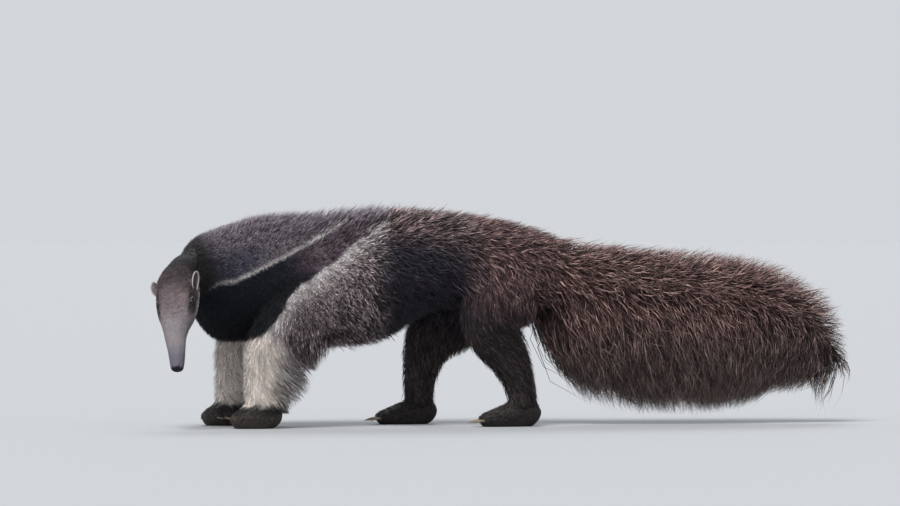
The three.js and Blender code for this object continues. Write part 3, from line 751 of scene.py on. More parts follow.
def toe_lumps(side, foot):
    """Swellings of the toes, as (centre, reach) in mm."""
    lumps = []
    x, y = foot_middle(side, foot)
    if foot == "fore":
        inward = 1 if side == "left" else -1
        for i, size in enumerate((12, 17, 18, 11)):
            toe = x + FORE_TOE_START + i * FORE_TOE_GAP, y + inward * 22, 24
            lumps.append((toe, (size * 0.8, size * 1.5, size)))
    else:
        for aside in range(-2, 3):
            lumps.append(((x - 98 + abs(aside) * 6, y + aside * HIND_TOE_GAP, 15), (22, 8, 12)))
    return lumps


def sphere(rings, sides):
    """Rings of a unit sphere: angles from the pole, angles round it and points."""
    v = np.repeat(np.linspace(0, math.pi, rings + 2)[1:-1], sides)
    u = np.tile(np.arange(sides) / sides * 2 * math.pi, rings)
    return v, u, np.stack([np.sin(v) * np.cos(u), np.sin(v) * np.sin(u), np.cos(v)], axis=1)


def ball(centre, reach, rings=12, sides=18):
    points, faces = capped(sphere(rings, sides)[2], rings, sides)
    points[-2], points[-1] = [0, 0, 1], [0, 0, -1]
    return points * reach + centre, faces


def body_skin():
    """Trunk, tail, legs and feet as one remeshed surface."""
    verts, faces, count = [], [], 0

    def take(points, more):
        nonlocal count
        verts.append(points)
        faces.extend([[i + count for i in f] for f in more])
        count += len(points)

    take(*swept(trunk, 120, 72))
    take(*swept(tail, 90, 48))
    for side in SIDES:
        take(*swept(forelegs[side], 60, 40))
        take(*swept(hindlegs[side], 60, 40))
        take(*swept(forefeet[side], 30, 36))
        take(*swept(hindfeet[side], 30, 36))
        for foot in ("fore", "hind"):
            for centre, reach in toe_lumps(side, foot):
                take(*ball(np.array(centre, float), np.array(reach, float)))
    points = np.vstack(verts)
    piece = add_object("body_skin", mesh_of("body_skin", points, faces))
    remesh = piece.modifiers.new("even", "REMESH")
    remesh.mode = "VOXEL"
    remesh.voxel_size = SKIN_VOXEL * MM
    smooth = piece.modifiers.new("soften", "SMOOTH")
    smooth.factor = 0.5
    smooth.iterations = 8
    applied(piece)
    points = points_of(piece.data)
    points[:, 2] = np.maximum(points[:, 2], 0.6)
    move_points(piece.data, points)
    return piece


def build_skin():
    body = body_skin()
    head_piece = add_object("head_skin", head_skin())
    union = body.modifiers.new("join", "BOOLEAN")
    union.operation = "UNION"
    union.object = head_piece
    union.solver = "MANIFOLD"
    applied(body)
    bpy.data.objects.remove(head_piece)
    body.name = "skin"
    body.data.name = "skin"
    return body


skin = build_skin()


def leg_coordinates(points, leg):
    """How near points are to a leg, and how far round it they lie, in mm."""
    places = through(leg.rows[:, :3], np.linspace(0, 1, 60))
    middle_x = np.interp(points[:, 2], places[:, 2], places[:, 0])
    middle_y = np.interp(points[:, 2], places[:, 2], places[:, 1])
    off_x, off_y = points[:, 0] - middle_x, points[:, 1] - middle_y
    near = ramp(np.hypot(off_x, off_y), 130, 110) * ramp(points[:, 2], 330, 250)
    return near, np.arctan2(off_y, off_x) * 55


def lie_coordinates(points):
    """Across and along the lie of the short fur, in mm, for the streaks of the skin's finish."""
    s, around, out = head_coordinates(points)
    on_head = ramp(s, HEAD_LENGTH, HEAD_LENGTH - 30) * ramp(out, 1.3, 1.1)
    x, y, z = points.T
    across, along = np.arctan2(y, z - 400) * 140, x
    for leg in (*forelegs.values(), *hindlegs.values()):
        near, round_leg = leg_coordinates(points, leg)
        near = near * ramp(x, 180, 160)
        across = across * (1 - near) + round_leg * near
        along = along * (1 - near) + z * near
    across = across * (1 - on_head) + around * 40 * on_head
    along = along * (1 - on_head) + s * on_head
    return across, along


def finish_skin():
    mesh = skin.data
    mesh.shade_smooth()
    points = points_of(mesh)
    root, tip = pelt(points)
    write_colour(mesh, "root_colour", root)
    write_colour(mesh, "tip_colour", tip)
    across, along = lie_coordinates(points)
    write_float(mesh, "across_lie", across)
    write_float(mesh, "along_lie", along)


finish_skin()


# Coat: tufts rooted on the bodies and combed out to the coat's outline
class Skin:
    """Finds the place on the skin nearest to a point."""

    def __init__(self, mesh):
        mesh.calc_loop_triangles()
        verts = points_of(mesh)
        corners = np.empty(len(mesh.loop_triangles) * 3, np.int32)
        mesh.loop_triangles.foreach_get("vertices", corners)
        self.tree = BVHTree.FromPolygons(verts.tolist(), corners.reshape(-1, 3).tolist())

    def settle(self, points, out, cover, reach):
        """Where hair from these places comes out of the skin: straight out, under at most this cover of
        flesh, or else the nearest skin within reach. Gives places, normals and which were found."""
        places, normals = points.copy(), out.copy()
        found = np.zeros(len(points), bool)
        for i, (point, normal) in enumerate(zip(points, out)):
            start = Vector(point + normal * cover[i])
            place, face, _, _ = self.tree.ray_cast(start, Vector(-normal), cover[i] + reach)
            if place is None or face @ Vector(normal) < 0.15:
                place, face, _, _ = self.tree.find_nearest(Vector(point), reach)
            if place is not None:
                places[i], normals[i], found[i] = place, face, True
        return places, normals, found


skin_surface = Skin(skin.data)
EVEN_STEPS = 0.7548776662, 0.5698402910  # steps that fill a square evenly, whatever the count


def spread(body, count, start, end, density=None):
    """Evenly scattered (t, around) over part of a body's skin, in proportion to its area and the density."""
    tries = count * 6
    i = np.arange(tries)
    t = start + (end - start) * ((0.5 + i * EVEN_STEPS[0]) % 1)
    around = math.pi * (2 * ((0.5 + i * EVEN_STEPS[1]) % 1) - 1)
    by_t, by_a = body.slopes(t, around)
    weight = np.linalg.norm(np.cross(by_t, by_a), axis=1)
    if density is not None:
        weight = weight * density(t, around)
    keep = rng.random(tries) < weight * count / weight.sum()
    t, around = t[keep], around[keep]
    t = np.clip(t + rng.normal(0, 0.35 / math.sqrt(count), len(t)) * (end - start), 0, 1)
    return t, around + rng.normal(0, 1.4 / math.sqrt(count), len(t))


def gathered(along, across, size):
    """How far, in mm, each hair's tip is from the middle of its own lock's tip."""
    row = np.floor(along / size[0])
    shift = (row % 2) * 0.5
    column = np.floor(across / size[1] + shift)
    seed = np.sin(row * 127.1 + column * 311.7) * 43758.5453
    jitter_along, jitter_across = (seed % 1) - 0.5, (seed * 7.13 % 1) - 0.5
    middle_along = (row + 0.5 + 0.6 * jitter_along) * size[0]
    middle_across = (column + 0.5 - shift + 0.6 * jitter_across) * size[1]
    return middle_along - along, middle_across - across


def blades(roots, tips, faces_out, arch, width, thick, style):
    """Closed three-sided blades, bent from root to tip: points, triangles and shares along and across."""
    count, rings = len(roots), style.rings
    length = np.linalg.norm(tips - roots, axis=1)
    start = roots - faces_out * np.minimum(style.sink, length * 0.3)[:, None]
    aside = unit(np.cross(tips - roots, faces_out)) * rng.normal(0, style.bow, count)[:, None]
    bend = (start + tips) / 2 + (faces_out * arch[:, None] + aside) * length[:, None]
    shares = np.linspace(0, 1, rings + 1)[:-1] ** 0.9
    profile = np.interp(shares, [0, 0.3, 0.6, 1], [0.75, 1, 0.85, 0.0])
    lean = rng.normal(0, 0.5, count)
    points = np.empty((count, rings * 3 + 1, 3), np.float32)
    for k, share in enumerate(shares):
        centre = start * (1 - share) ** 2 + bend * (2 * share * (1 - share)) + tips * share**2
        tangent = unit((bend - start) * (1 - share) + (tips - bend) * share)
        across = unit(np.cross(tangent, faces_out))
        up = np.cross(across, tangent)
        cos, sin = np.cos(lean)[:, None], np.sin(lean)[:, None]
        across, up = across * cos + up * sin, up * cos - across * sin
        half = (width * profile[k] / 2)[:, None]
        points[:, k * 3] = centre + across * half
        points[:, k * 3 + 1] = centre + up * (thick * profile[k])[:, None]
        points[:, k * 3 + 2] = centre - across * half
    points[:, -1] = tips
    faces = [(0, 2, 1)]
    for k in range(rings - 1):
        for a in range(3):
            b = (a + 1) % 3
            low, high = k * 3, k * 3 + 3
            faces += [(low + a, low + b, high + b), (low + a, high + b, high + a)]
    top = (rings - 1) * 3
    faces += [(top + a, top + (a + 1) % 3, rings * 3) for a in range(3)]
    faces = np.array(faces, np.int32)
    along = np.append(np.repeat(shares, 3), 1.0)
    across_share = np.append(np.tile([-1.0, 0.0, 1.0], rings), 0.0)
    return points, faces, along, across_share


def coat_piece(name, batches):
    """One mesh from batches of blades, each with its root's colours and its place on the unwrap."""
    kinds = ("points", "faces", "along", "across", "uv", "tone", "bands", "root", "tip")
    made = {kind: [] for kind in kinds}
    count = 0
    for batch in batches:
        points, faces, along, across = batch["blades"]
        tufts, each = points.shape[:2]
        along, across = np.tile(along, tufts), np.tile(across, tufts)
        in_patch = np.stack([along - 0.5, across * 0.5], axis=1) * UV_PATCH
        made["points"].append(points.reshape(-1, 3))
        made["faces"].append((faces[None] + (np.arange(tufts) * each)[:, None, None] + count).reshape(-1, 3))
        made["along"].append(along)
        made["across"].append(across)
        made["uv"].append(np.repeat(batch["uv"], each, axis=0) + in_patch)
        for kind in ("tone", "bands", "root", "tip"):
            made[kind].append(np.repeat(batch[kind], each, axis=0))
        count += tufts * each
    made = {kind: np.concatenate(values) for kind, values in made.items()}
    corners = made["faces"].astype(np.int32).ravel()
    mesh = bpy.data.meshes.new(name)
    mesh.vertices.add(count)
    mesh.vertices.foreach_set("co", placed(made["points"]).astype(np.float32).ravel())
    mesh.loops.add(len(corners))
    mesh.loops.foreach_set("vertex_index", corners)
    mesh.polygons.add(len(corners) // 3)
    mesh.polygons.foreach_set("loop_start", np.arange(0, len(corners), 3, dtype=np.int32))
    layer = mesh.uv_layers.new(name="OFBake")
    layer.uv.foreach_set("vector", made["uv"][corners].astype(np.float32).ravel())
    mesh.update(calc_edges=True)
    mesh.shade_smooth()
    for kind in ("along", "across", "tone", "bands"):
        write_float(mesh, kind, made[kind])
    for kind in ("root", "tip"):
        write_colour(mesh, kind + "_colour", made[kind])
    return add_object(name, mesh)


UV_PATCH = 0.003  # each tuft's patch on the unwrap
SEEN_SHARE = 0.55  # how far along a tuft its markings belong, as its outer part is what shows
DROOP = np.array([0.0, 0.0, -1.0])
WHOLE = (0, 0, 1, 1)
TILES = {"left": (0, 0, 1, 0.5), "right": (0, 0.5, 1, 1)}


def tile_place(tile, u, v):
    """Places of shares u and v on a tile of the unwrap, with room for a patch at its edges."""
    u0, v0, u1, v1 = tile
    return np.stack([u0 + (u1 - u0) * (0.02 + 0.96 * u), v0 + (v1 - v0) * (0.02 + 0.96 * v)], axis=1)


def comb(body, part, count, start, end, style, tile=WHOLE, density=None):
    """A batch of tufts over part of a body. The style's length, fall (degrees that the hair turns from the
    path towards the under face), width and arch are functions of the spot."""
    t, around = spread(body, count, start, end, density)
    out = body.normal(t, around)
    roots = body.point(t, around, Body.SKIN)
    spot = SimpleNamespace(t=t, a=np.abs(turned_degrees(around)), x=roots[:, 0], z=roots[:, 2])
    cover = style.cover(spot)
    places, normals, keep = skin_surface.settle(roots, out, cover, style.reach)
    t, around, out, places, normals, cover = (v[keep] for v in (t, around, out, places, normals, cover))
    spot = SimpleNamespace(**{name: value[keep] for name, value in vars(spot).items()})
    number = len(t)

    length = style.length(spot) * np.clip(1 + rng.normal(0, style.vary, number), 0.4, 1.7)
    lie = np.radians(style.fall(spot) + rng.normal(0, style.stray, number))
    pace, girth = body.pace(t), body.radius(t)
    down = np.sign(turned_degrees(around))
    run, fall = length * np.cos(lie) * style.way, length * np.sin(lie) * down
    pull_along, pull_across = gathered(t * pace, around * girth, style.lock)
    held = (rng.random(number) > style.loose) * style.clump
    tip_t = t + (run + pull_along * held) / pace
    past = np.maximum(tip_t - 1, 0) * pace
    tip_t = np.clip(tip_t, 0, 1)
    turn = (fall + pull_across * held) / girth
    far = np.abs(around) + np.abs(turn) > math.pi
    turn = np.where(far & (np.sign(turn) == np.sign(around)), turn * 0.3, turn)
    tip_around = around + turn

    full = body.point(tip_t, tip_around, Body.COAT)
    low = body.point(tip_t, tip_around, Body.SKIN)
    if style.drapes:
        above = skin_surface.settle(low, body.normal(tip_t, tip_around), cover, 1.0)[0]
        full, low = full + above - low, above
    under = np.abs(rng.normal(0, style.under, number))[:, None] - style.over
    tips = full * (1 - under) + low * under
    tips += (body.section(np.ones(number))[1] * style.past + DROOP * style.sag) * past[:, None]
    tips += normals * (rng.random(number) * style.fly * (held == 0))[:, None]
    tips[:, 2] = np.maximum(tips[:, 2], FLOOR_CLEARANCE + rng.random(number) * 6)
    arch = style.arch(spot) + rng.normal(0, 0.02, number)
    width = style.width(spot) * (1 + rng.normal(0, 0.22, number)).clip(0.4, 1.8)
    shape = blades(places, tips, normals, arch, width, width * 0.35, style)
    seen = places * (1 - SEEN_SHARE) + tips * SEEN_SHARE
    root, tip = pelt(seen + rng.normal(0, style.mingle, places.shape), part)
    uv = tile_place(tile, (t - start) / (end - start), (around / (2 * math.pi) + 0.5) % 1)
    tone = 0.5 + 0.8 * (rng.random(number) - 0.5) + style.patchy * mottle(places, style.patch)
    bands = np.full(number, style.bands)
    return {"blades": shape, "tone": tone.clip(0, 1), "bands": bands, "root": root, "tip": tip, "uv": uv}


def turned_degrees(around):
    return np.degrees((around + math.pi) % (2 * math.pi) - math.pi)


def always(value):
    return lambda spot: np.full(len(spot.t), float(value))


def by_angle(*pairs):
    """A value that follows the angle from the middle of the over face, through (degrees, value) pairs."""
    angles, values = zip(*pairs)
    return lambda spot: np.interp(spot.a, angles, values)


class Style:
    """How one coat grows. Lengths are in mm and angles in degrees."""

    drapes = False  # whether the tips follow the flesh over the body's own side too
    way = 1  # -1 where the hair lies towards the path's start
    rings = 2
    vary = 0.2
    stray = 8
    lock = (20, 14)  # how long and wide a lock's patch of tips is
    clump = 0.5
    loose = 0.1  # the share of hairs that no lock holds
    fly = 5  # how far loose hairs may stand out
    under = 0.3  # how far tips may stay under the coat's outline, as a share of its depth
    over = 0.0  # how far past the outline they may reach
    sink = 4
    bow = 0.05
    reach = 9
    mingle = 2
    past = 0.0  # how far hair runs on past the path's end, as a share of what is left of its length
    sag = 1.0  # how far it droops there
    bands = 0  # how many dark bands each hair has
    patch = 9  # the size of the coat's lighter and darker blotches
    patchy = 0.22

    def __init__(self, **given):
        self.length, self.fall, self.width = always(30), always(0), always(1.5)
        self.arch = always(0.05)
        self.cover = always(8)  # how much flesh may lie over the body's own side
        vars(self).update(given)


def over_legs(spot):
    """How much flesh of the legs the trunk's coat may run over."""
    shoulder = ramp(spot.t, 0.28, 0.36) * ramp(spot.t, 0.62, 0.54) * ramp(spot.a, 150, 128)
    thigh = ramp(spot.t, 0.6, 0.7) * ramp(spot.a, 140, 118)
    return 9 + 50 * np.maximum(shoulder, thigh)


def short_coat(spot):
    """1 on the mantle, bib and shoulder, where the hair is short, down to 0 on the back and flank."""
    return ramp(spot.x, -285, -390)


def trunk_length(spot):
    long_hair = np.interp(spot.a, [0, 30, 70, 120, 180], [95, 95, 95, 90, 70])
    long_hair = long_hair * np.interp(spot.x, [-300, -100, 150, 240], [0.52, 0.68, 0.8, 0.8])
    short_hair = np.interp(spot.x, [-850, -760, -600, -400], [10, 13, 16, 22])
    mane = np.interp(spot.x, [-760, -650, -400], [1.0, 1.35, 2.4])
    on_top, on_side = np.interp(spot.a, [15, 50], [1, 0]), np.interp(spot.a, [15, 50], [0, 1])
    short_hair = short_hair * on_top * mane + short_hair * on_side
    share = short_coat(spot)
    return long_hair * (1 - share) + short_hair * share


def trunk_fall(spot):
    short = np.interp(spot.a, [0, 30, 60, 100, 150, 180], [2, 12, 38, 52, 30, 0])
    long = np.interp(spot.a, [0, 30, 60, 100, 150, 180], [0, 12, 34, 52, 40, 0])
    share = short_coat(spot)
    return short * share + long * (1 - share)


FORELEG_HAIR = Style(
    length=by_angle((0, 28), (90, 38), (180, 76)),
    fall=by_angle((0, 8), (60, 30), (180, 10)),
    arch=by_angle((0, 0.03), (120, 0.08)),
    way=-1, lock=(16, 10), under=0.14, fly=8, reach=8, bands=2.5,
)
HINDLEG_HAIR = Style(
    length=by_angle((0, 44), (90, 64), (180, 84)),
    fall=by_angle((0, 10), (60, 30), (180, 10)),
    width=always(2.1),
    way=-1, lock=(28, 14), clump=0.6, under=0.16, stray=13, bow=0.14, fly=9, reach=8,
    bands=1.6, patch=16, patchy=0.3,
)
TAIL_HAIR = Style(
    length=by_angle((0, 74), (60, 80), (110, 100), (180, 108)),
    fall=by_angle((0, 4), (30, 18), (60, 32), (90, 46), (140, 56), (180, 0)),
    width=lambda spot: 2.5 - 0.6 * spot.t,
    arch=by_angle((0, 0.03), (180, 0.12)),
    rings=3, vary=0.35, stray=21, lock=(40, 17), clump=0.66, loose=0.2, fly=16, under=0.2, over=0.14,
    sink=8, bow=0.24, past=0.12, sag=0.62, bands=2.4, patch=20, patchy=0.36,
)
FOOT_HAIR = Style(length=always(13), fall=always(15), width=always(1.4), sink=2, fly=2, reach=6, mingle=3)
FACE_HAIR = Style(
    length=lambda spot: np.interp(spot.t, [0.2, 0.5, 0.7, 1.0], [4.5, 7, 11, 22]),
    fall=always(4),
    width=lambda spot: np.interp(spot.t, [0.2, 0.6, 1.0], [0.65, 0.95, 1.5]),
    lock=(8, 5), clump=0.4, fly=2.5, stray=13, under=0.35, sink=1.5, reach=4, mingle=0.8,
    past=0.5, sag=0.0, bands=0.6, patch=6, patchy=0.3,
)


def off_eyes(t, around):
    """Thins the face's fur to nothing on the lids and the nose."""
    points = head.point(t, around, Body.SKIN)
    share = (ramp(t, 0.14, 0.5) * 0.8 + 0.2) * ramp(t, 0.13, 0.18)
    for side in SIDES:
        centre, _, along, up = eye_place(side)
        rel = points - centre
        share = share * ramp(np.hypot(rel @ along / 14, rel @ up / 10), 0.9, 1.15)
    return share


def below_trunk(side, stop):
    """A leg's own coat ends on its outer side where the trunk's coat comes down over it."""
    outer = 1 if side == "left" else -1

    def density(t, around):
        outside = ramp(np.sin(around) * outer, -0.5, 0.1)
        return np.maximum(1 - outside * ramp(t, stop, stop + 0.12), 0.0)

    return density


QUICK_SHARE = 1.0


def many(count):
    return max(int(count * QUICK_SHARE), 20)


def trunk_piece(name, count, start, end, rings, width, **given):
    style = Style(length=trunk_length, fall=trunk_fall, width=width, rings=rings, **given)
    style.cover, style.drapes = over_legs, True
    return coat_piece(name, [comb(trunk, "trunk", many(count), start, end, style)])


def coarse(spot):
    return np.interp(spot.x, [-400, -200, 200], [1.7, 2.3, 2.8])


def quarter(row, column):
    return column / 2, row / 2, (column + 1) / 2, (row + 1) / 2


def body_coat():
    fine = {"lock": (6, 5), "clump": 0.2, "fly": 3, "bands": 1.6, "patch": 7, "patchy": 0.14, "bow": 0.16}
    frizzy = {"lock": (11, 8), "clump": 0.4, "fly": 9, "bands": 3, "patch": 8, "bow": 0.22}
    for short in (fine, frizzy):
        short.update(stray=26, sink=3, mingle=1.0)
    long = {"fly": 17, "stray": 19, "bow": 0.2, "patch": 16, "patchy": 0.3, "over": 0.12}
    yield trunk_piece("neck_coat", 20300, 0.0, 0.3, 2, always(1.1), **fine)
    yield trunk_piece("shoulder_coat", 20500, 0.3, 0.46, 2, always(1.3), **frizzy)
    yield trunk_piece("flank_coat_1", 11400, 0.46, 0.62, 3, coarse, lock=(22, 11), bands=2.5, **long)
    yield trunk_piece("flank_coat_2", 11200, 0.62, 1.0, 3, coarse, lock=(26, 12), bands=2, **long)
    for number, start, end in ((1, 0.0, 0.42), (2, 0.42, 1.0)):
        yield coat_piece(f"tail_coat_{number}", [comb(tail, "tail", many(11600), start, end, TAIL_HAIR)])
    for name, legs, style, count, stop in (
        ("foreleg_coat", forelegs, FORELEG_HAIR, 6000, 0.5),
        ("hindleg_coat", hindlegs, HINDLEG_HAIR, 4800, 0.68),
    ):
        batches = []
        for side in SIDES:
            part = "leg", many(count), 0.02, 0.95, style, TILES[side], below_trunk(side, stop)
            batches.append(comb(legs[side], *part))
        yield coat_piece(name, batches)
    batches = []
    for row, feet in enumerate((forefeet, hindfeet)):
        for column, side in enumerate(SIDES):
            batches.append(comb(feet[side], "leg", many(2200), 0.05, 0.95, FOOT_HAIR, quarter(row, column)))
    yield coat_piece("foot_coat", batches)
    yield coat_piece("head_coat", [comb(head, "head", many(16500), 0.1, 0.985, FACE_HAIR, density=off_eyes)])


coat = list(body_coat())


# Eyes
def eye_ball(side):
    """An eyeball with a slightly bulging cornea, its pole looking out."""
    centre, out, along, up = eye_place(side)
    rings, sides = 40, 48
    v, u, shape = sphere(rings, sides)
    radius = (EYE_RADIUS - 0.25) * (1 + 0.05 * bell(v, 0.5))
    local = shape * radius[:, None]
    points, faces = capped(local, rings, sides)
    points = points @ np.stack([along, up, out]) + centre
    mesh = mesh_of(f"eyeball_{side}", points, faces)
    outward_faces(mesh)
    mesh.shade_smooth()
    write_float(mesh, "off_axis", np.append(v, [0, math.pi]))
    write_float(mesh, "spoke", np.append(u, [0, 0]))
    return add_object(f"eyeball_{side}", mesh)


eyes = {side: eye_ball(side) for side in SIDES}

# Ears: the angle round the head, and directions in shares of outward, browward and muzzleward
EAR_SETS = {
    "left": SimpleNamespace(around=73, half=11.5, rise=(0.1, 0.4, -0.9), mouth=(0.7, 0.3, 0.65)),
    "right": SimpleNamespace(around=-82, half=13, rise=(0.3, -0.15, -0.9), mouth=(0.34, 0.93, 0.37)),
}
EAR_DEPTH, EAR_SKIN = 9.5, 2.6
EAR_HAIR = Style(sink=1.0)


def ear_axes(side):
    """The middle of an ear and its axes: across it, up it and out of its cup."""
    pose = EAR_SETS[side]
    axes = np.stack([head_left * (1 if side == "left" else -1), brow, muzzleward])
    rise = unit(np.array(pose.rise) @ axes)
    mouth = np.array(pose.mouth) @ axes
    mouth = unit(mouth - rise * (mouth @ rise))
    t, around = np.array([head_share(EAR_FROM_TIP)]), np.array([math.radians(pose.around)])
    root = head.point(t, around, Body.CORE, -6)[0]
    return root + rise * EAR_LENGTH * 0.5, unit(np.cross(rise, mouth)), rise, mouth


def ear_points(side, share, turn, inner):
    """Points of the ear's cup: share of the way to its rim, and the angle round it."""
    middle, across, rise, mouth = ear_axes(side)
    a, b = share * np.cos(turn), share * np.sin(turn)
    bowl = -np.sqrt(np.clip(1 - share**2, 0, 1))
    depth, scale = EAR_DEPTH * bowl, 1.0
    if inner:
        folds = 0.9 * bell(a - 0.32, 0.12) + 0.7 * bell(a + 0.25, 0.1)
        depth, scale = (EAR_DEPTH - EAR_SKIN) * bowl + 0.5 + folds * ramp(share, 1, 0.8), 0.93
    depth = depth + 1.2 * ramp(share, 0.8, 1.0)
    wide = a * EAR_SETS[side].half * scale * (1 + 0.16 * b)
    tall = b * EAR_LENGTH * 0.5 * scale
    return middle + across * wide[:, None] + rise * tall[:, None] + mouth * depth[:, None]


def build_ear(side):
    rings, sides = 26, 56
    shares = np.linspace(0.02, 1, rings)
    turn = np.arange(sides) / sides * 2 * math.pi
    outer = ear_points(side, np.repeat(shares, sides), np.tile(turn, rings), False)
    inner = ear_points(side, np.repeat(shares[::-1], sides), np.tile(turn, rings), True)
    points, faces = capped(np.vstack([outer, inner]), rings * 2, sides)
    mesh = mesh_of(f"ear_{side}_shell", points, faces)
    outward_faces(mesh)
    mesh.shade_smooth()
    inside = np.concatenate([np.zeros(rings * sides), np.ones(rings * sides), [0, 1]])
    rim = np.concatenate([np.repeat(shares, sides), np.repeat(shares[::-1], sides), [0, 0]])
    write_float(mesh, "inside", inside)
    write_float(mesh, "rim", rim)
    return add_object(f"ear_{side}_shell", mesh)


ears = {side: build_ear(side) for side in SIDES}


def ear_fur(side, patch):
    """Short hair on an ear's back and rim, lying towards its tip, and longer pale hair in its cup."""
    batches = []
    _, _, rise, mouth = ear_axes(side)
    for inner, count, bare, long, pale, away in (
        (False, many(2200), 0.0, 1.0, 0.0, -mouth),
        (True, many(600), 0.3, 1.6, 0.12, mouth),
    ):
        share = np.sqrt(bare + (1 - bare) * rng.random(count))
        turn = rng.random(count) * 2 * math.pi
        roots = ear_points(side, share, turn, inner)
        step = 0.02
        right = ear_points(side, share, turn + step, inner) - roots
        out = ear_points(side, np.minimum(share + step, 1), turn, inner)
        out = out - ear_points(side, share - step, turn, inner)
        normals = unit(np.cross(out, right))
        normals = normals * np.where(normals @ away < 0, -1, 1)[:, None]
        at_rim = ramp(share, 0.86, 1.0)[:, None]
        normals = unit(normals * (1 - 0.5 * at_rim) + mouth * 0.3 * at_rim)
        lie = rise * 0.9 + unit(out) * (0.3 + 0.9 * at_rim)
        lie = unit(lie - normals * dot(lie, normals)[:, None])
        length = (1.5 + 1.4 * rng.random(count)) * long
        tips = roots + lie * length[:, None] + normals * (length * 0.22)[:, None]
        arch, width, bow = (np.full(count, value) for value in (0.06, 0.8, 0.3))
        edge = ramp(share, 0.8, 0.97)[:, None]
        pale = 0.75 * edge + pale * (1 - edge)
        u0, v0, u1, v1 = patch
        local = np.stack([0.5 + 0.42 * share * np.cos(turn), 0.5 + 0.42 * share * np.sin(turn)], axis=1)
        half = 0.5 if inner else 0.0
        batch = {"blades": blades(roots, tips, normals, arch, width, bow, EAR_HAIR)}
        batch["tone"], batch["bands"] = rng.random(count), np.zeros(count)
        batch["root"] = COATS["cheek"][0] * (1 - pale) + COATS["edge"][0] * pale
        batch["tip"] = COATS["face"][1] * (1 - pale) + COATS["edge"][1] * pale
        u, v = u0 + (u1 - u0) * (half + 0.5 * local[:, 0]), v0 + (v1 - v0) * local[:, 1]
        batch["uv"] = np.stack([u, v], axis=1)
        batches.append(batch)
    return batches


coat.append(coat_piece("ear_coat", ear_fur("left", TILES["left"]) + ear_fur("right", TILES["right"])))

# Claws
FORECLAWS = ((52, 6.5), (86, 9), (100, 10.5), (46, 6))  # length and thickness
HINDCLAW = 44, 5.5
FORE_CURL, HIND_CURL = 1.1, 0.6  # how far a claw turns along its length, in radians


def turned(v, axis, angle):
    return np.array(Matrix.Rotation(angle, 3, Vector(axis)) @ Vector(v))


def claw_mesh(name, root, out, bend, length, thick, turn):
    """A curved, tapering claw, flatter below, with fine growth lines along it."""
    steps, sides = 28, 20
    side = unit(np.cross(out, bend))
    place, heading = np.array(root, float), unit(out)
    points, shares = [], []
    around = np.arange(sides) / sides * 2 * math.pi
    for i in range(steps + 1):
        share = i / steps
        size = thick * (1 - 0.93 * share**1.35)
        up = unit(np.cross(side, heading))
        low = np.where(np.cos(around) < 0, 0.72, 1.0)
        line = 1 + 0.02 * np.sin(around * 7 + share * 3)
        ring = (
            place
            + side[None] * (np.sin(around) * size * 0.62 * line)[:, None]
            + up[None] * (np.cos(around) * size * low * line)[:, None]
        )
        points.append(ring)
        shares.append(np.full(sides, share))
        place = place + heading * (length / steps)
        heading = turned(heading, side, turn / steps)
    verts, faces = capped(np.vstack(points), steps + 1, sides)
    mesh = mesh_of(name, verts, faces)
    outward_faces(mesh)
    mesh.shade_smooth()
    write_float(mesh, "along", np.concatenate([*shares, [0, 1]]))
    return add_object(name, mesh)


def foreclaw(side, index):
    length, thick = FORECLAWS[index]
    inward = 1 if side == "left" else -1
    x, _ = foot_middle(side, "fore")
    root = [x + FORE_TOE_START + index * FORE_TOE_GAP, mirrored(side, FORE_TRACK - 16), 24]
    name, out = f"claw_fore_{side}_{index + 1}", [-0.2, inward, -0.06]
    return claw_mesh(name, root, out, [1, 0, 0], length, thick, FORE_CURL)


def hindclaw(side, index):
    aside = index - (HIND_TOES - 1) / 2
    x, y = foot_middle(side, "hind")
    root = [x - 112 + abs(aside) * 6, y + aside * HIND_TOE_GAP, 17]
    name, out = f"claw_hind_{side}_{index + 1}", [-1, aside * 0.06, 0.12]
    return claw_mesh(name, root, out, [0, 0, -1], *HINDCLAW, HIND_CURL)


claws = {}
for side in SIDES:
    for index in range(len(FORECLAWS)):
        claws[f"foreclaw_{side}_{index + 1}"] = foreclaw(side, index)
    for index in range(HIND_TOES):
        claws[f"hindclaw_{side}_{index + 1}"] = hindclaw(side, index)


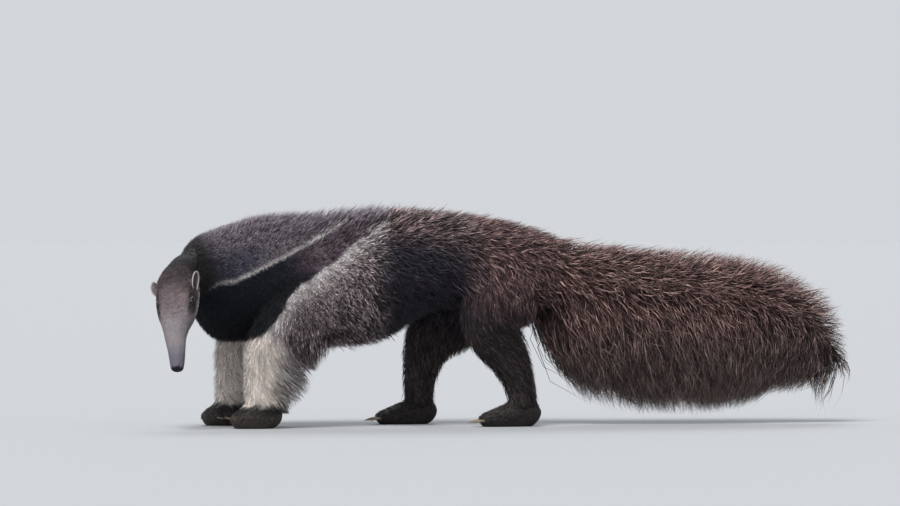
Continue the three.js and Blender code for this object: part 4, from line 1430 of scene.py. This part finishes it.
# Shader node groups
class Nodes:
    """Adds nodes to a shader tree. What a socket is given is a link, a number or a colour."""

    def __init__(self, tree):
        self.tree = tree

    def give(self, socket, value):
        if isinstance(value, bpy.types.NodeSocket):
            self.tree.links.new(value, socket)
        elif np.ndim(value) == 0:
            socket.default_value = value
        else:
            socket.default_value = (*map(float, value), 1)[: len(socket.default_value)]

    def add(self, kind, values=None, **settings):
        node = self.tree.nodes.new("ShaderNode" + kind)
        for name, setting in settings.items():
            setattr(node, name, setting)
        for socket, value in (values or {}).items():
            self.give(node.inputs[socket], value)
        return node

    def attribute(self, name, output="Fac"):
        return self.add("Attribute", attribute_name=name).outputs[output]

    def object_place(self):
        return self.add("TexCoord").outputs["Object"]

    def combined(self, x, y):
        return self.add("CombineXYZ", {0: x, 1: y}).outputs[0]

    def calc(self, operation, *values, clamp=False):
        return self.add("Math", dict(enumerate(values)), operation=operation, use_clamp=clamp).outputs[0]

    def times(self, a, b, clamp=False):
        return self.calc("MULTIPLY", a, b, clamp=clamp)

    def mix(self, factor, a, b, blend="MIX"):
        return self.add("Mix", {0: factor, 6: a, 7: b}, data_type="RGBA", blend_type=blend).outputs[2]

    def between(self, value, low, high, to_low=0.0, to_high=1.0):
        return self.add("MapRange", dict(enumerate((value, low, high, to_low, to_high)))).outputs[0]

    def noise(self, vector, scale, detail=2.0, rough=0.5):
        values = {"Vector": vector, "Scale": scale, "Detail": detail, "Roughness": rough}
        return self.add("TexNoise", values).outputs["Fac"]

    def bump(self, height, strength, distance):
        values = {"Height": height, "Strength": strength, "Distance": distance}
        return self.add("Bump", values).outputs["Normal"]

    def shared(self, tree, values):
        return self.add("Group", values, node_tree=tree).outputs

    def shade(self, values):
        for socket, value in values.items():
            self.give(self.tree.nodes["Principled BSDF"].inputs[socket], value)


def group(name, inputs, outputs):
    """A shared group with these numbers and colours to put in, and what it puts out."""
    tree = bpy.data.node_groups.new(name, "ShaderNodeTree")
    for socket, value in inputs.items():
        kind = "NodeSocketFloat" if np.ndim(value) == 0 else "NodeSocketColor"
        tree.interface.new_socket(socket, in_out="INPUT", socket_type=kind).default_value = value
    for socket, kind in outputs.items():
        tree.interface.new_socket(socket, in_out="OUTPUT", socket_type="NodeSocket" + kind)
    return Nodes(tree), tree.nodes.new("NodeGroupInput").outputs, tree.nodes.new("NodeGroupOutput").inputs


def hair_colour_group():
    """The colour of a hair from its root and tip colours: dark at the root, banded, each its own tone, with
    painted shade that darkens it further towards the root, where other hairs would shade it.
    """
    nodes, given, out = group(
        "hair colour",
        {"Root": (0.05, 0.05, 0.05, 1), "Tip": (0.4, 0.4, 0.4, 1), "Along": 0.5, "Tone": 0.5, "Bands": 0.0},
        {"Colour": "Color", "Roughness": "Float"},
    )
    along, tone, bands = given["Along"], given["Tone"], given["Bands"]
    shifted = nodes.calc("ADD", along, nodes.times(nodes.calc("SUBTRACT", tone, 0.5), 0.8))
    turns = nodes.calc("ADD", nodes.times(along, bands), nodes.times(tone, 7.0))
    wave = nodes.calc("SINE", nodes.times(turns, 2 * math.pi))
    dark = nodes.times(nodes.between(wave, -0.4, 0.6, 0.0, 0.8), nodes.times(bands, 0.6, clamp=True))
    share = nodes.times(nodes.between(shifted, 0.5, 0.9), nodes.calc("SUBTRACT", 1.0, dark))
    colour = nodes.mix(share, given["Root"], given["Tip"])
    # Painted shade: besides each hair's own tone, the colour darkens towards the root, on the tufts and in
    # the skin's streaks.
    light = nodes.times(nodes.between(tone, 0.0, 1.0, 0.55, 1.3), nodes.between(along, 0.0, 0.5, 0.4, 1.0))
    nodes.give(out["Colour"], nodes.mix(1.0, colour, light, "MULTIPLY"))
    nodes.give(out["Roughness"], nodes.between(along, 0.0, 1.0, 0.75, 0.5))
    return nodes.tree


def fur_relief_group():
    """Streaks of short, flat fur on the skin: their height, and a share between root and tip colours."""
    nodes, given, out = group("fur relief", {"Fineness": 1.0}, {"Height": "Float", "Share": "Float"})
    fine = given["Fineness"]
    across = nodes.times(nodes.attribute("across_lie"), fine)
    along = nodes.times(nodes.attribute("along_lie"), nodes.times(fine, 0.14))
    place = nodes.combined(across, along)
    streaks, clumps = nodes.noise(place, 1.0, 3.0, 0.6), nodes.noise(place, 0.22)
    nodes.give(out["Height"], nodes.calc("ADD", nodes.times(streaks, 0.7), nodes.times(clumps, 0.5)))
    nodes.give(out["Share"], nodes.between(streaks, 0.32, 0.68))
    return nodes.tree


HAIR_COLOUR = hair_colour_group()
FUR_RELIEF = fur_relief_group()


# Materials
def new_material(name):
    material = bpy.data.materials.new(name)
    material.use_nodes = True
    return material, Nodes(material.node_tree)


def hair_colour(nodes, along, tone, bands=0.0):
    root, tip = nodes.attribute("root_colour", "Color"), nodes.attribute("tip_colour", "Color")
    return nodes.shared(HAIR_COLOUR, {"Root": root, "Tip": tip, "Along": along, "Tone": tone, "Bands": bands})


def coat_material():
    material, nodes = new_material("coat hair")
    hair = hair_colour(nodes, *(nodes.attribute(name) for name in ("along", "tone", "bands")))
    nodes.shade({"Base Color": hair["Colour"], "Roughness": hair["Roughness"], "Specular IOR Level": 0.35})
    return material


def skin_material():
    material, nodes = new_material("furred skin")
    relief = nodes.shared(FUR_RELIEF, {"Fineness": 1.6})
    grain = nodes.noise(nodes.object_place(), 900.0)
    hair = hair_colour(nodes, relief["Share"], nodes.between(grain, 0.3, 0.7, 0.2, 0.9))
    nodes.shade({
        "Base Color": hair["Colour"],
        "Roughness": 0.7,
        "Specular IOR Level": 0.3,
        "Normal": nodes.bump(relief["Height"], 0.7, 0.0012),
    })
    return material


def eye_material():
    material, nodes = new_material("eye")
    off_axis, spoke = nodes.attribute("off_axis"), nodes.attribute("spoke")
    rays = nodes.noise(nodes.combined(nodes.times(spoke, 6.0), nodes.times(off_axis, 2.0)), 3.0, 3.0)
    iris = nodes.mix(rays, paint("0f0906"), paint("2a190d"))
    inner = nodes.mix(nodes.between(off_axis, 0.3, 0.36), paint("030304"), iris)
    nodes.shade({
        "Base Color": nodes.mix(nodes.between(off_axis, 0.78, 0.88), inner, paint("1c1512")),
        "Roughness": 0.5,
        "Specular IOR Level": 0.15,
        "Coat Weight": 0.55,
        "Coat Roughness": 0.03,
    })
    return material


def ear_material():
    material, nodes = new_material("ear skin")
    mottle = nodes.noise(nodes.object_place(), 320.0, 3.0)
    back = nodes.mix(mottle, COATS["crown"][0], COATS["face"][1])
    cup = nodes.mix(mottle, paint("2a2222"), paint("463c3b"))
    colour = nodes.mix(nodes.attribute("inside"), back, cup)
    at_rim = nodes.between(nodes.attribute("rim"), 0.88, 0.97, 0.0, 0.85)
    nodes.shade({
        "Base Color": nodes.mix(at_rim, colour, COATS["edge"][0]),
        "Roughness": 0.65,
        "Normal": nodes.bump(mottle, 0.4, 0.0006),
    })
    return material


def horn_material():
    material, nodes = new_material("claw horn")
    streak = nodes.add("Mapping", {"Vector": nodes.object_place(), "Scale": (400, 60, 400)}).outputs[0]
    lines = nodes.noise(streak, 1.0, 4.0)
    base = nodes.mix(lines, paint("3b3028"), paint("7d6f5c"))
    towards_tip = nodes.between(nodes.attribute("along"), 0.2, 1.0, 0.0, 0.6)
    nodes.shade({
        "Base Color": nodes.mix(towards_tip, base, paint("8f816d")),
        "Roughness": nodes.between(lines, 0.3, 0.7, 0.3, 0.55),
        "Normal": nodes.bump(lines, 0.5, 0.0005),
    })
    return material


# Which look and body go with each piece, and which plain parts are hidden


def dress(piece, material, slot_name):
    piece.data.materials.clear()
    piece.data.materials.append(material)
    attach(piece, "root")


HAIR = coat_material()
dress(skin, skin_material(), "body_fur")
COAT_SLOTS = {
    "tail": "tail_fur",
    "flank": "body_fur",
    "neck": "neck_fur",
    "shoulder": "body_fur",
    "foreleg": "foreleg_fur",
    "hindleg": "hindleg_fur",
    "foot": "foot_skin",
    "head": "face_fur",
    "ear": "face_fur",
}
for piece in coat:
    dress(piece, HAIR, COAT_SLOTS[piece.name.split("_")[0]])
eye_look, ear_look, horn = eye_material(), ear_material(), horn_material()
for side in SIDES:
    dress(eyes[side], eye_look, "eye")
    dress(ears[side], ear_look, "face_fur")
    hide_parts(f"eye_{side}")
    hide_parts(f"ear_{side}")
for node, piece in claws.items():
    dress(piece, horn, "claw")
    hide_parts(node)
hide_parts("head", "neck", "torso", "tail")
for side in SIDES:
    for limb in ("upper_arm", "forearm", "forefoot", "thigh", "shank", "hindfoot"):
        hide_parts(f"{limb}_{side}")


# Stage, camera and light
FLOOR_REACH = 80.0


def build_stage():
    """A wide, pale, round floor."""
    sides = 96
    around = np.arange(sides) / sides * 2 * math.pi
    rim = [(FLOOR_REACH * math.cos(a), FLOOR_REACH * math.sin(a), 0.0) for a in around]
    mesh = bpy.data.meshes.new("studio_floor")
    mesh.from_pydata(rim, [], [list(range(sides))])
    floor = add_object("studio_floor", mesh)
    material, nodes = new_material("studio floor")
    nodes.shade({"Base Color": paint("939598"), "Roughness": 0.9})
    mesh.materials.append(material)


build_stage()

VIEW_TURN = math.radians(-10)  # the camera's way round the animal
CAMERA_DISTANCE = 14.0
CAMERA_HEIGHT = 0.6
AIM_ACROSS, AIM_HEIGHT = -0.056, 0.482
LENS = 200.0


def aimed(place, aim):
    look = Vector(aim) - Vector(place)
    return Matrix.Translation(Vector(place)) @ look.to_track_quat("-Z", "Y").to_matrix().to_4x4()


def add_camera():
    right = np.array([math.cos(VIEW_TURN), math.sin(VIEW_TURN), 0.0])
    back = np.array([math.sin(VIEW_TURN), -math.cos(VIEW_TURN), 0.0])
    aim = right * AIM_ACROSS + np.array([0, 0, AIM_HEIGHT]) + OFFSET
    place = aim + back * CAMERA_DISTANCE
    place[2] = CAMERA_HEIGHT + OFFSET[2]
    data = bpy.data.cameras.new("camera")
    data.lens = LENS
    data.sensor_width = 36.0
    data.clip_end = 100.0
    camera = add_object("camera", data)
    camera.matrix_world = aimed(place, aim)
    bpy.context.scene.camera = camera


def add_light(name, kind, place, aim, power, colour):
    data = bpy.data.lights.new(name, kind)
    data.energy = power
    data.color = colour
    light = add_object(name, data)
    light.matrix_world = aimed(place, aim)
    return data


def light_scene():
    world = bpy.data.worlds.new("studio")
    bpy.context.scene.world = world
    world.use_nodes = True
    sky = world.node_tree.nodes["Background"]
    sky.inputs["Color"].default_value = (0.9, 0.93, 0.97, 1)
    sky.inputs["Strength"].default_value = 0.72
    key = add_light("key", "SUN", (-1.8, -2.4, 5.0), (0, 0, 0), 3.9, (1.0, 0.985, 0.97))
    key.angle = math.radians(28)
    back = add_light("back", "SUN", (0.6, 3.0, 3.6), (0, 0, 0), 1.3, (0.95, 0.98, 1.0))
    back.angle = math.radians(30)
    bpy.context.scene.view_settings.view_transform = "Standard"


add_camera()
light_scene()
